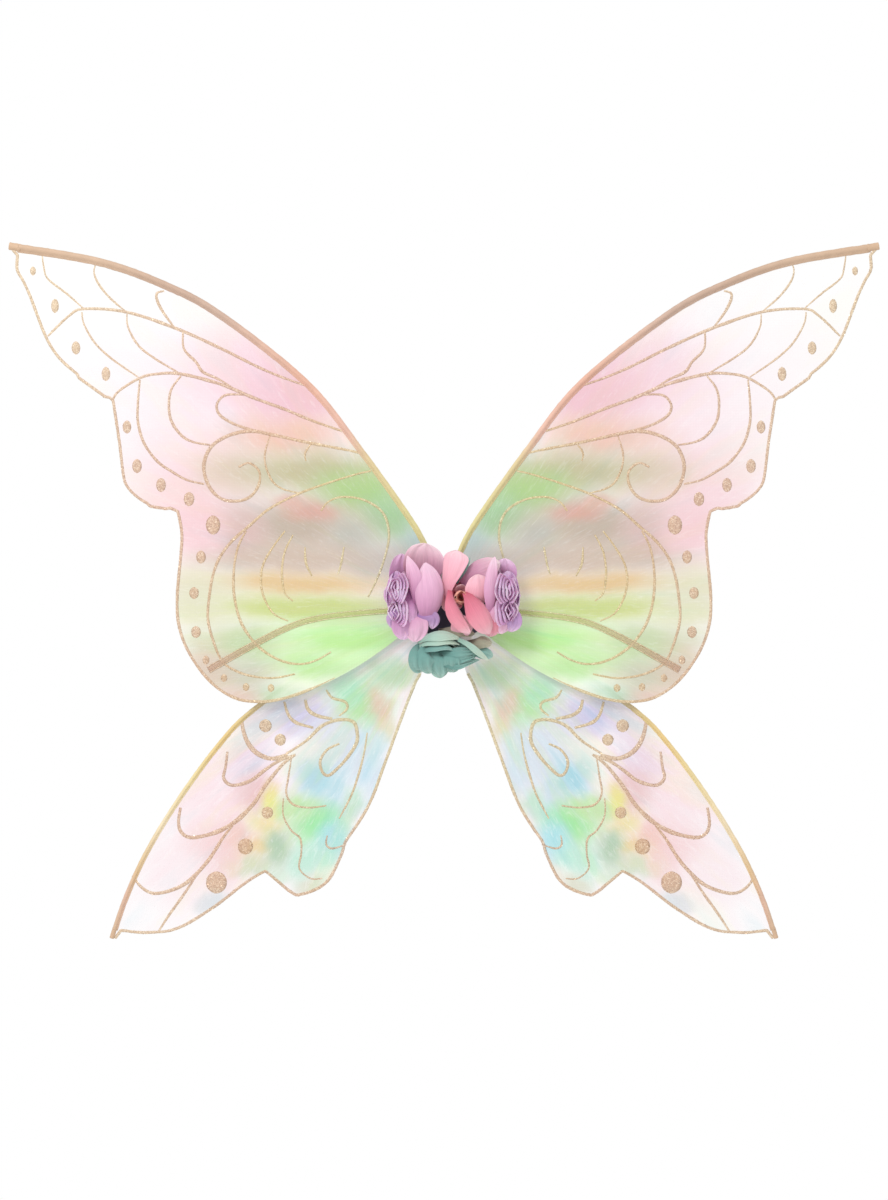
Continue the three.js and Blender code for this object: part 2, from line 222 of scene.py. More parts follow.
# The colour washes painted on each wing, with a few patches of painted light and shade among them: place and
# reach in mm, strength and colour. The later lie over the earlier.
washesAndPaintedLight = {
    "upper": {
        "ground": "#fffdfc", "edgeShift": 0.022,
        "patches": [
            ((240, 215), (190, 120), 0.90, "#fbf0f4"),
            ((190, 240), (100, 60), 0.95, "#f6dde5"),
            ((142, 214), (66, 46), 1.00, "#f2d2da"),
            ((262, 110), (84, 92), 0.95, "#f8e2e6"),
            ((160, 176), (80, 26), 1.00, "#f2d4c8"),
            ((212, 140), (50, 34), 0.90, "#ecdcd2"),
            ((128, 140), (108, 30), 1.00, "#d2cdae"),
            ((84, 120), (60, 34), 1.00, "#bfdb9e"),
            ((54, 94), (40, 32), 1.00, "#b5d9ae"),
            ((30, 66), (26, 28), 0.90, "#c0d8d6"),
            ((148, 84), (100, 38), 1.00, "#d0c4b6"),
            ((204, 76), (40, 42), 0.90, "#e2cac6"),
            ((244, 84), (34, 40), 0.90, "#f6dade"),
            ((92, 72), (26, 22), 0.80, "#c8cac0"),
            ((130, 98), (34, 13), 0.70, "#e6b6aa"),
            ((152, 110), (24, 10), 0.60, "#e8bcae"),
            ((66, 52), (58, 26), 0.90, "#d3d0ca"),
            ((150, 52), (110, 22), 0.90, "#d8c8b9"),
            ((150, 28), (130, 16), 0.95, "#e9d1a3"),
            ((140, 4), (150, 18), 1.00, "#d7e19e"),
            ((246, 14), (50, 46), 0.90, "#e8e9d2"),
            ((96, -26), (110, 26), 1.00, "#bdea9f"),
            ((200, -30), (70, 24), 0.90, "#d1dfba"),
            ((128, -54), (90, 24), 0.95, "#bee5a6"),
            # painted light: this paler patch lifts the band that the lower wing behind would darken
            ((86, -46), (46, 13), 0.80, "#d2f2bc"),
            ((206, -62), (60, 24), 0.95, "#d9d8c8"),
            ((236, -58), (30, 40), 0.80, "#e4d4c4"),
            ((168, -82), (50, 12), 0.80, "#c6dcc0"),
            ((204, -84), (28, 14), 0.80, "#ead2c6"),
        ],
    },
    "lower": {
        "ground": "#fdf8fa", "edgeShift": 0.045,
        "patches": [
            ((235, -200), (80, 70), 0.90, "#f9e5ea"),
            ((196, -148), (40, 30), 0.90, "#efe2ec"),
            ((190, -180), (30, 26), 0.80, "#eccfcf"),
            ((228, -250), (40, 46), 0.90, "#f3c9cb"),
            ((270, -262), (40, 40), 0.80, "#f9e3e9"),
            # partly the film's lavender, partly painted shadow of the upper wing's edge above it
            ((150, -100), (52, 26), 1.00, "#d9d8ee"),
            ((184, -114), (34, 22), 0.80, "#e9e2f0"),
            ((104, -132), (40, 40), 0.90, "#deeaf2"),
            ((122, -168), (34, 30), 0.95, "#c1e4ec"),
            ((74, -152), (24, 56), 0.80, "#d9ebf4"),
            ((80, -92), (40, 30), 0.95, "#c6ecc0"),
            ((96, -78), (30, 18), 0.80, "#bcecd0"),
            ((62, -96), (14, 26), 0.70, "#f0cfc2"),
            ((52, -60), (34, 22), 0.90, "#c9e6c4"),
            ((58, -116), (16, 16), 0.80, "#e9e6cc"),
            ((70, -132), (16, 22), 0.80, "#dcedec"),
            ((108, -198), (36, 18), 0.80, "#d3e8f2"),
            ((128, -214), (40, 28), 1.00, "#b4efb8"),
            ((150, -192), (30, 18), 0.90, "#d0ecbc"),
            ((112, -232), (26, 30), 0.85, "#bfe9f2"),
            ((138, -250), (30, 26), 0.90, "#c2efdc"),
            ((172, -186), (14, 18), 0.85, "#f1ee9e"),
            ((180, -212), (26, 22), 0.85, "#f1e6b0"),
            ((192, -238), (22, 14), 0.90, "#ecd78e"),
            ((170, -240), (20, 30), 0.95, "#b2d3b4"),
            ((186, -262), (30, 12), 0.80, "#c4d6b6"),
            ((212, -226), (20, 20), 0.80, "#f2c8bb"),
            # painted shadow: a blue-grey patch near the lower wing's tip
            ((232, -292), (26, 12), 0.85, "#c4ced6"),
            ((110, -268), (24, 16), 0.70, "#f4f2e6"),
            ((90, -192), (16, 22), 0.85, "#cfecd8"),
            ((132, -274), (18, 12), 0.80, "#dadfc6"),
            ((164, -262), (20, 12), 0.80, "#dcefde"),
            ((194, -256), (18, 12), 0.90, "#d6dcb4"),
            ((214, -256), (14, 14), 0.80, "#ecd2b6"),
        ],
    },
}


def washAndLightGroup(wing):
    # soft patches laid one over another, their edges broken up as dye spreads in the cloth; a few of them are
    # painted light and shade
    rule = washesAndPaintedLight[wing]
    tree = bpy.data.node_groups.new(wing + "Wash", "ShaderNodeTree")
    tree.interface.new_socket("Color", in_out="OUTPUT", socket_type="NodeSocketColor")
    out = node(tree, "NodeGroupOutput")
    parts = partsOf(tree, objectPlace(tree))
    outward = calc(tree, "ABSOLUTE", parts["X"])
    place = node(tree, "ShaderNodeCombineXYZ", links={"X": outward, "Z": parts["Z"]}).outputs[0]
    spread = node(tree, "ShaderNodeTexNoise", {"Scale": 16.0, "Detail": 3.0, "Roughness": 0.6},
                  {"Vector": place}).outputs["Color"]
    shift = vector(tree, "SUBTRACT", spread, (0.5, 0.5, 0.5))
    place = vector(tree, "ADD", place, vector(tree, "SCALE", shift, rule["edgeShift"]))
    colour = tuple(linear(rule["ground"]))
    for (u, z), (wide, tall), strength, hexColour in rule["patches"]:
        off = vector(tree, "SUBTRACT", place, (u * mm, 0, z * mm))
        far = vector(tree, "LENGTH", vector(tree, "MULTIPLY", off, (1 / (wide * mm), 0, 1 / (tall * mm))))
        soft = ranged(tree, far, *washEdge, strength, 0.0, "SMOOTHSTEP")
        colour = mixColours(tree, soft, colour, tuple(linear(hexColour)))
    tree.links.new(colour, out.inputs[0])
    return tree


# How the organza's look differs between the wings, with lengths in metres.
organzaRule = {
    "cover": 0.80, "clearCover": 0.42,  # how much of the light the cloth stops, dyed and undyed
    "rainbow": {"upper": 0.22, "lower": 0.5},
    # crinkleHighlight: the strength of the painted highlights on the film's crinkles
    "crinkleHighlight": {"upper": 0.18, "lower": 0.3},
    "clearFrom": {"upper": (0.30, 0.44), "lower": (0.26, 0.36)},  # where the dye thins out, from the hub
    "threadGap": 1.6 * mm,  # real threads are 0.25 mm apart, which is too fine to show
    # the upper wing is dyed more heavily where it covers the lower wing
    "heavyOut": (160 * mm, 190 * mm), "heavyDown": (-4 * mm, -20 * mm), "heavyCover": 0.18,
    # the upper wing's lower edge, as two straight runs of slope and start
    "upperEdge": ((-0.667, 7.3 * mm), (-0.3125, -29.5 * mm)),
    # paintedShadow: a painted shadow of the upper wing on the lower wing, as where it starts and ends below
    # the upper wing's edge, its strength and its colour
    "paintedShadow": (-12 * mm, -1 * mm, 0.45, "#8fb0a6"), "clearStrip": (-2 * mm, 3 * mm, 0.12),
}


def organza(wing):
    # sheer polyester organza: fine crossed threads, a cool rainbow film and painted colour washes
    rule = organzaRule
    cover = rule["cover"]
    upper = wing == "upper"
    material, tree, shader = newMaterial(wing + "Organza", **{
        "Roughness": 0.36, "Sheen Weight": 0.12, "Sheen Roughness": 0.35, "Specular IOR Level": 0.4,
        "Thin Film Thickness": 430.0, "Thin Film IOR": 1.42})
    washAndLight = node(tree, "ShaderNodeGroup", node_tree=washAndLightTrees[wing]).outputs[0]
    where = objectPlace(tree)
    parts = partsOf(tree, where)
    outward = calc(tree, "ABSOLUTE", parts["X"])

    # the seen colour is part cloth and part white behind it, so the dye is stronger than it looks
    dye = vector(tree, "SUBTRACT", washAndLight, (1 - cover,) * 3)
    dye = vector(tree, "SCALE", dye, 0.93 / cover)
    dye = vector(tree, "MAXIMUM", dye, (0.02,) * 3)
    dyed = node(tree, "ShaderNodeGamma", {"Gamma": 1.3}, {"Color": dye}).outputs[0]
    if upper:
        within = ranged(tree, outward, *rule["heavyOut"], 1.0, 0.0)
        below = ranged(tree, parts["Z"], *rule["heavyDown"], 0.0, 1.0)
        heavy = calc(tree, "MULTIPLY", within, below)
        deep = node(tree, "ShaderNodeGamma", {"Gamma": 1.12}, {"Color": washAndLight}).outputs[0]
        dyed = mixColours(tree, heavy, dyed, deep)

    # rainbow streaks that fan out from the hub
    angle = calc(tree, "ARCTAN2", parts["Z"], parts["X"])
    reach = vector(tree, "LENGTH", where)
    fan = node(tree, "ShaderNodeCombineXYZ", {"Z": 0.4}, {"X": angle, "Y": reach}).outputs[0]

    def fanned(stretch, scale, detail, more):
        run = node(tree, "ShaderNodeMapping", {"Scale": stretch}, {"Vector": fan}).outputs[0]
        return noiseOn(tree, run, scale, detail, more)

    rainbow = toned(tree, fanned((1.6, 1.1, 1), 7.0, 4.0, {"Roughness": 0.55}), (
        (0.30, "#bfe9f2"), (0.42, "#ffffff"), (0.50, "#ffeef2"), (0.58, "#fff7cf"), (0.70, "#d9f7d4")))
    tinted = mixColours(tree, rule["rainbow"][wing], dyed, rainbow, "MULTIPLY")

    # painted highlights: short pale marks where crinkles in the film catch the light
    marks = fanned((2.6, 2.2, 1), 26.0, 5.0, {"Roughness": 0.7, "Distortion": 1.2})
    pale = ranged(tree, marks, 0.52, 0.72, 0.0, rule["crinkleHighlight"][wing])
    tinted = mixColours(tree, pale, tinted, (1, 1, 1, 1))
    if not upper:
        # how far above the upper wing's lower edge
        runs = [calc(tree, "MULTIPLY_ADD", outward, slope, start) for slope, start in rule["upperEdge"]]
        above = calc(tree, "SUBTRACT", parts["Z"], calc(tree, "MAXIMUM", *runs))
        # painted shadow: a soft grey-teal band on the lower wing just below the upper wing's lower edge
        low, high, depth, tint = rule["paintedShadow"]
        paintedShadow = ranged(tree, above, low, high, 0.0, depth, "SMOOTHSTEP")
        tinted = mixColours(tree, paintedShadow, tinted, tuple(linear(tint)))
    coloured(tree, shader, tinted)

    threads = [bandsOn(tree, where, rule["threadGap"], way, {"Distortion": 0.6, "Detail": 1.0})
               for way in ("X", "Z")]
    weave = calc(tree, "MULTIPLY", *threads)
    # undyed cloth near the tip lets more through
    alpha = calc(tree, "ADD", ranged(tree, reach, *rule["clearFrom"][wing], cover, rule["clearCover"]),
                 calc(tree, "MULTIPLY_ADD", weave, 0.10, -0.03), clamp=True)
    if upper:
        alpha = calc(tree, "ADD", alpha, ranged(tree, heavy, 0.0, 1.0, 0.0, rule["heavyCover"]), clamp=True)
    else:
        # the strip behind the upper wing is left as clear film
        low, high, left = rule["clearStrip"]
        alpha = calc(tree, "MULTIPLY", alpha, ranged(tree, above, low, high, 1.0, left))
    tree.links.new(alpha, shader.inputs["Alpha"])
    pucker = noiseOn(tree, where, 55.0, 3.0)
    bumped(tree, shader, calc(tree, "MULTIPLY_ADD", weave, 0.25, pucker), 0.35, 0.0009)
    return material


def glitterCast(tree, where):
    # the glitter is pale yellow by the hub, coppery further out and tan at the tips
    double = calc(tree, "MULTIPLY", vector(tree, "LENGTH", where), 2.0)
    return toned(tree, double, (
        (0.18, "#cfd0a2"), (0.36, "#d2bc84"), (0.50, "#c99f88"), (0.66, "#c89e86"), (0.95, "#d0b48c")))


def glitterColour(tree, wing, cells, stops, castShare, washShare):
    # each cell takes its own tone, then some of the glitter's cast and of the wash behind it
    washAndLight = node(tree, "ShaderNodeGroup", node_tree=washAndLightTrees[wing]).outputs[0]
    pick = node(tree, "ShaderNodeSeparateColor", links={0: cells["Color"]}).outputs[0]
    worn = mixColours(tree, castShare, toned(tree, pick, stops), glitterCast(tree, objectPlace(tree)))
    return mixColours(tree, washShare, worn, washAndLight)


def glitterGlue(wing):
    # gold glitter glue: tiny flakes in clear glue
    material, tree, shader = newMaterial(wing + "GlitterGlue", **{
        "Roughness": 0.45, "Metallic": 0.1, "Coat Weight": 0.15, "Coat Roughness": 0.25})
    grain = cellsOn(tree, objectPlace(tree), 0.9 * mm)
    stops = ((0.0, "#8f7250"), (0.35, "#c0a078"), (0.7, "#d8bb92"), (0.95, "#fff2d4"))
    coloured(tree, shader, glitterColour(tree, wing, grain, stops, 0.5, 0.15))
    bumped(tree, shader, grain["Distance"], 0.6, 0.0004)
    return material


def goldFlake(wing):
    # metallised polyester flakes, brighter than the glue and each a slightly different gold
    material, tree, shader = newMaterial(wing + "GoldFlake", **{"Metallic": 0.7, "Roughness": 0.3})
    cells = cellsOn(tree, objectPlace(tree), 1.4 * mm)
    stops = ((0.0, "#957350"), (0.5, "#ceb087"), (0.8, "#f0dcb0"), (1.0, "#fff0e4"))
    coloured(tree, shader, glitterColour(tree, wing, cells, stops, 0.35, 0.12))
    return material


def toneOutwards(tree, where, stops, span):
    # colours along the way from the middle out to the span's end
    outward = calc(tree, "ABSOLUTE", partsOf(tree, where)["X"])
    return toned(tree, calc(tree, "MULTIPLY", outward, 1 / span), stops)


def satinRibbon(name, stops, span, glitter=0.15):
    # woven satin ribbon bound round the wire: cross ribs, a soft sheen and a dusting of glitter
    material, tree, shader = newMaterial(name, **{
        "Roughness": 0.5, "Sheen Weight": 0.5, "Sheen Roughness": 0.4, "Specular IOR Level": 0.4})
    where = objectPlace(tree)
    ribs = bandsOn(tree, clothPlace(tree), 0.9 * mm, "X", {
        "Distortion": 1.2, "Detail": 2.0, "Detail Scale": 2.0})
    blotch = ranged(tree, noiseOn(tree, where, 90.0, 4.0), 0.3, 0.7, 0.93, 1.03)
    satin = shaded(tree, toneOutwards(tree, where, stops, span), blotch)
    specks = ranged(tree, cellsOn(tree, where, 1.1 * mm)["Distance"], 0.12, 0.2, glitter, 0.0)
    coloured(tree, shader, mixColours(tree, specks, satin, tuple(linear("#f7e3b4"))))
    bumped(tree, shader, ribs, 0.3, 0.0003)
    return material


def sheerTape(name, stops, span, alpha):
    # nylon chiffon tape: pale, thin enough to see the wire and the sheet through it
    material, tree, shader = newMaterial(name, **{
        "Roughness": 0.5, "Alpha": alpha, "Sheen Weight": 0.2, "Sheen Roughness": 0.4,
        "Specular IOR Level": 0.3})
    where = objectPlace(tree)
    grain = noiseOn(tree, where, 500.0, 3.0)
    tone = toneOutwards(tree, where, stops, span)
    coloured(tree, shader, shaded(tree, tone, ranged(tree, grain, 0.3, 0.7, 0.93, 1.04)))
    bumped(tree, shader, grain, 0.3, 0.0003)
    return material


def petalCloth(name, stops, through):
    # stiffened polyester petal cloth with pressed veins, darker at the base and paler to the rim: partly dye,
    # partly painted shade at the base and painted highlight at the rim
    material, tree, shader = newMaterial(name, **{
        "Roughness": 0.78, "Sheen Weight": 0.35, "Sheen Roughness": 0.5, "Specular IOR Level": 0.25,
        "Subsurface Weight": through, "Subsurface Scale": 0.004, "Subsurface Radius": (1.0, 0.6, 0.6)})
    uv = clothPlace(tree)
    where = objectPlace(tree)
    uneven = calc(tree, "MULTIPLY_ADD", noiseOn(tree, where, 45.0, 4.0), 0.34, -0.17)
    # painted shade and highlight in part: the colour runs from the dark base to the pale rim
    tone = toned(tree, calc(tree, "ADD", partsOf(tree, uv)["Y"], uneven), stops)
    # pressed veins run from the base to the rim
    fan = node(tree, "ShaderNodeMapping", {"Scale": (9.0, 0.7, 1.0)}, {"Vector": uv}).outputs[0]
    veining = noiseOn(tree, fan, 3.0, 5.0, {"Roughness": 0.65})
    coloured(tree, shader, shaded(tree, tone, ranged(tree, veining, 0.3, 0.7, 0.86, 1.06)))
    weave = noiseOn(tree, where, 1 / (0.7 * mm), 1.0)
    bumped(tree, shader, calc(tree, "MULTIPLY_ADD", weave, 0.3, veining), 0.4, 0.0006)
    return material


def feltCloth(name, dark, light):
    # pressed wool-like felt: matted fibres with a furry sheen
    material, tree, shader = newMaterial(name, **{
        "Roughness": 0.95, "Sheen Weight": 0.6, "Sheen Roughness": 0.7, "Specular IOR Level": 0.2})
    mat = noiseOn(tree, objectPlace(tree), 700.0, 6.0, {"Roughness": 0.75, "Distortion": 1.4})
    coloured(tree, shader, toned(tree, mat, ((0.3, dark), (0.7, light))))
    bumped(tree, shader, mat, 0.7, 0.0005)
    return material


def mouldedPlastic(name, base):
    # injection-moulded polypropylene with a faint spark-eroded grain
    material, tree, shader = newMaterial(name, **{
        "Roughness": 0.45, "IOR": 1.49, "Subsurface Weight": 0.05, "Subsurface Scale": 0.002})
    where = objectPlace(tree)
    wear = ranged(tree, noiseOn(tree, where, 35.0, 5.0), 0.3, 0.7, 0.9, 1.03)
    coloured(tree, shader, shaded(tree, tuple(linear(base)), wear))
    bumped(tree, shader, noiseOn(tree, where, 900.0, 2.0), 0.15, 0.0002)
    return material


def drawnSteel(name, base, roughness):
    # zinc-bright drawn steel: fine draw lines along the wire and a few dull spots
    material, tree, shader = newMaterial(name, **{"Metallic": 1.0, "Roughness": roughness})
    where = objectPlace(tree)
    dull = ranged(tree, noiseOn(tree, where, 120.0, 4.0), 0.35, 0.65, 0.75, 1.0)
    coloured(tree, shader, shaded(tree, tuple(linear(base)), dull))
    bumped(tree, shader, noiseOn(tree, where, 800.0, 2.0), 0.2, 0.0001)
    return material


def wovenElastic():
    # flat woven elastic: rubber cords under polyester, so it is ribbed along its length
    material, tree, shader = newMaterial("wovenElastic", **{
        "Roughness": 0.72, "Sheen Weight": 0.3, "Sheen Roughness": 0.5, "Specular IOR Level": 0.3})
    uv = clothPlace(tree)
    cords = bandsOn(tree, uv, 1.3 * mm, "Y", {"Distortion": 0.2})
    picks = bandsOn(tree, uv, 0.8 * mm, "X", {"Distortion": 0.8, "Detail": 1.0})
    knit = calc(tree, "MULTIPLY", cords, picks)
    coloured(tree, shader, toned(tree, knit, ((0.0, "#e4dcd9"), (0.6, "#f7f3f1"))))
    bumped(tree, shader, knit, 0.6, 0.0004)
    return material


# lines and small helpers
def splineThrough(points, step, pieces=None):
    # a smooth curve through given points, as evenly spaced points about one step apart
    count = len(points)
    dense = []
    for k in range(count - 1):
        p0, p1 = points[max(k - 1, 0)], points[k]
        p2, p3 = points[k + 1], points[min(k + 2, count - 1)]
        for j in range(12):
            t = j / 12
            dense.append(tuple(
                0.5 * (2 * b + (c - a) * t + (2 * a - 5 * b + 4 * c - d) * t * t
                       + (3 * b - a - 3 * c + d) * t ** 3)
                for a, b, c, d in zip(p0, p1, p2, p3)))
    dense.append(tuple(points[-1]))
    lengths = [0.0]
    for a, b in zip(dense, dense[1:]):
        lengths.append(lengths[-1] + math.dist(a, b))
    pieces = pieces or max(2, round(lengths[-1] / step))
    spaced, k = [], 0
    for j in range(pieces + 1):
        want = lengths[-1] * j / pieces
        while k < len(lengths) - 2 and lengths[k + 1] < want:
            k += 1
        span = max(lengths[k + 1] - lengths[k], 1e-12)
        t = min(max((want - lengths[k]) / span, 0), 1)
        spaced.append(tuple(a + (b - a) * t for a, b in zip(dense[k], dense[k + 1])))
    return spaced


def newObject(name, vertices, faces, material, uvs=None):
    mesh = bpy.data.meshes.new(name)
    mesh.from_pydata([tuple(v) for v in vertices], [], faces)
    if uvs:
        layer = mesh.uv_layers.new(name="cloth")
        for loop in mesh.loops:
            layer.data[loop.index].uv = uvs[loop.vertex_index]
    mesh.materials.append(material)
    mesh.shade_smooth()
    made = bpy.data.objects.new(name, mesh)
    bpy.context.scene.collection.objects.link(made)
    return made


def place(piece, body, slot, *replaced):
    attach(piece, body)
    if replaced:
        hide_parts(*replaced)
    return piece


def smoothly(x):
    x = min(1.0, max(0.0, x))
    return x * x * (3 - 2 * x)


def circle(wide, deep, count, turn=0.0):
    angles = [math.tau * (j + turn) / count for j in range(count)]
    return [(wide * math.cos(a), deep * math.sin(a)) for a in angles]


def fixNormals(mesh):
    tidy = bmesh.new()
    tidy.from_mesh(mesh)
    bmesh.ops.recalc_face_normals(tidy, faces=tidy.faces)
    tidy.to_mesh(mesh)
    tidy.free()


def sweep(name, path, sideways, outline, material, widths=None):
    # an outline of (across, through) points carried along a path, each with its own sideways direction
    count, around = len(path), len(outline)
    vertices, uvs, length, rim = [], [], 0.0, [0.0]
    for a, b in zip(outline, outline[1:] + outline[:1]):
        rim.append(rim[-1] + math.dist(a, b))
    for k, here in enumerate(path):
        ahead = (Vector(path[min(k + 1, count - 1)]) - Vector(path[max(k - 1, 0)])).normalized()
        across = Vector(sideways(k))
        through = ahead.cross(across).normalized()
        length += (Vector(here) - Vector(path[k - 1])).length if k else 0.0
        grow = widths[k] if widths else 1.0
        for j, (x, y) in enumerate(outline):
            vertices.append(Vector(here) + across * x * grow + through * y)
            uvs.append((length, rim[j]))
    faces = []
    for k in range(count - 1):
        for j in range(around):
            i = (j + 1) % around
            faces.append((k * around + j, k * around + i, (k + 1) * around + i, (k + 1) * around + j))
    faces.append(tuple(reversed(range(around))))
    faces.append(tuple(range((count - 1) * around, count * around)))
    made = newObject(name, vertices, faces, material, uvs)
    fixNormals(made.data)
    return made


def outlineOf(nodeName):
    # the edge of a flat CAD sheet, as (x, z) points in order
    tidy = bmesh.new()
    tidy.from_mesh(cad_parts[nodeName].data)
    bmesh.ops.remove_doubles(tidy, verts=tidy.verts, dist=1e-5)
    for face in tidy.faces:
        face.normal_update()
    front = {f for f in tidy.faces if f.normal.y < -0.9}
    rim = {}
    for face in front:
        for loop in face.loops:
            if not any(other in front for other in loop.edge.link_faces if other is not face):
                rim[loop.vert] = loop.link_loop_next.vert
    start = next(iter(rim))
    ordered, here = [start], rim[start]
    while here is not start:
        ordered.append(here)
        here = rim[here]
    points = [(v.co.x, v.co.z) for v in ordered]
    tidy.free()
    return points


def smoothOutline(points, step):
    # rounds the straight pieces of the outline, and keeps its cusps sharp
    count = len(points)

    def turnAt(k):
        a, b, c = (Vector(points[(k + d) % count]) for d in (-1, 0, 1))
        return (b - a).angle(c - b, 0.0)

    corners = [k for k in range(count) if turnAt(k) > sheets["cusp"]]
    smooth = []
    for k, first in enumerate(corners):
        last = corners[(k + 1) % len(corners)]
        run = [points[j % count] for j in range(first, last + (count if last <= first else 0) + 1)]
        smooth += splineThrough(run, step)[:-1]
    return smooth


def reachTip(points, wing, side):
    # the sheet runs on under the tape, right up to the spar's end
    line = sparLine(wing, 3 * mm)
    ahead = alongOf(line, len(line) - 1)
    corner = Vector(line[-1]) - ahead * 1.5 * mm + Vector((ahead.y, -ahead.x)) * 2.2 * mm
    corner = (corner.x * sides[side], corner.y)
    count = len(points)
    longer = [math.dist(points[k], corner) + math.dist(corner, points[(k + 1) % count])
              - math.dist(points[k], points[(k + 1) % count]) for k in range(count)]
    k = longer.index(min(longer))
    return points[:k + 1] + [corner] + points[k + 1:]


# the sheer sheets
sheets = {
    "cell": 7 * mm,  # the grid that lets the cloth ripple
    "ripple": 1.1 * mm,
    "edgeStep": 4 * mm,
    "cusp": 0.62,  # a sharper turn than this, in radians, stays a corner
    "calmFrom": 0.04, "calmOver": 0.12,  # the ripple grows with the reach from the hub
    "seamFlat": 0.03,  # and dies away towards the spar's seam
}
planes = {}
outlines = {}
sparPaths = {}


def rippleAt(wing, u, z):
    # slack folds that run out from the hub, with a softer crosswise swell
    turn, reach = math.atan2(z, u), math.hypot(u, z)
    calm = min(1.0, max(0.0, (reach - sheets["calmFrom"]) / sheets["calmOver"]))
    toSpar = min((u - a) ** 2 + (z - b) ** 2 for a, b in sparPaths[wing]) ** 0.5
    calm *= min(1.0, toSpar / sheets["seamFlat"])
    seed = 3.0 if wing == "upper" else 11.0
    fold = noise.noise(Vector((turn * 5.2, reach * 2.2, seed)))
    swell = noise.noise(Vector((u * 13, z * 13, seed + 5)))
    return sheets["ripple"] * calm * (1.5 * fold + 0.7 * swell)


def onSheet(side, wing, u, z):
    # u runs outwards from the middle on both sides
    return (sides[side] * u, planes[wing] + rippleAt(wing, u, z), z)


def sheerSheet(side, wing, material):
    outline = outlines[side, wing]
    built = bmesh.new()
    corners = [built.verts.new((x, 0, z)) for x, z in outline]
    built.faces.new(corners)
    low = [min(p[k] for p in outline) for k in (0, 1)]
    high = [max(p[k] for p in outline) for k in (0, 1)]
    for axis, normal in ((0, (1, 0, 0)), (1, (0, 0, 1))):
        cuts = round((high[axis] - low[axis]) / sheets["cell"])
        for k in range(1, cuts):
            at = low[axis] + (high[axis] - low[axis]) * k / cuts
            spot = (at, 0, 0) if axis == 0 else (0, 0, at)
            bmesh.ops.bisect_plane(built, geom=built.verts[:] + built.edges[:] + built.faces[:],
                                   plane_co=spot, plane_no=normal, dist=1e-7)
    bmesh.ops.remove_doubles(built, verts=built.verts, dist=0.2 * mm)
    for vert in built.verts:
        vert.co = onSheet(side, wing, vert.co.x * sides[side], vert.co.z)
    bmesh.ops.recalc_face_normals(built, faces=built.faces)
    if sum(face.normal.y for face in built.faces) > 0:
        bmesh.ops.reverse_faces(built, faces=built.faces)
    mesh = bpy.data.meshes.new(side + "_" + wing + "_sheet")
    built.to_mesh(mesh)
    built.free()
    mesh.shade_smooth()
    mesh.materials.append(material)
    sheet = bpy.data.objects.new(side + "_" + wing + "_sheet", mesh)
    bpy.context.scene.collection.objects.link(sheet)
    place(sheet, side + "_" + wing + "_wing", wing + "_organza", side + "_" + wing + "_membrane")
    return sheet


# glitter lines and dots
glitter = {
    "lineWidth": 2.9 * mm, "borderWidth": 3.0 * mm, "height": 0.26, "dotHeight": 0.10,
    "flakeSize": 0.5 * mm, "flakeDensity": 260000.0, "roughEdge": 0.45 * mm,
    "step": 2.4 * mm, "beadStep": 1.4 * mm, "thinnest": 0.7 * mm,
    "borderEnds": {"upper": 0.112, "lower": 0.024},  # how near the middle a border comes
    "sheetMiddle": {"upper": (0.12, 0.05), "lower": (0.12, -0.15)},
}

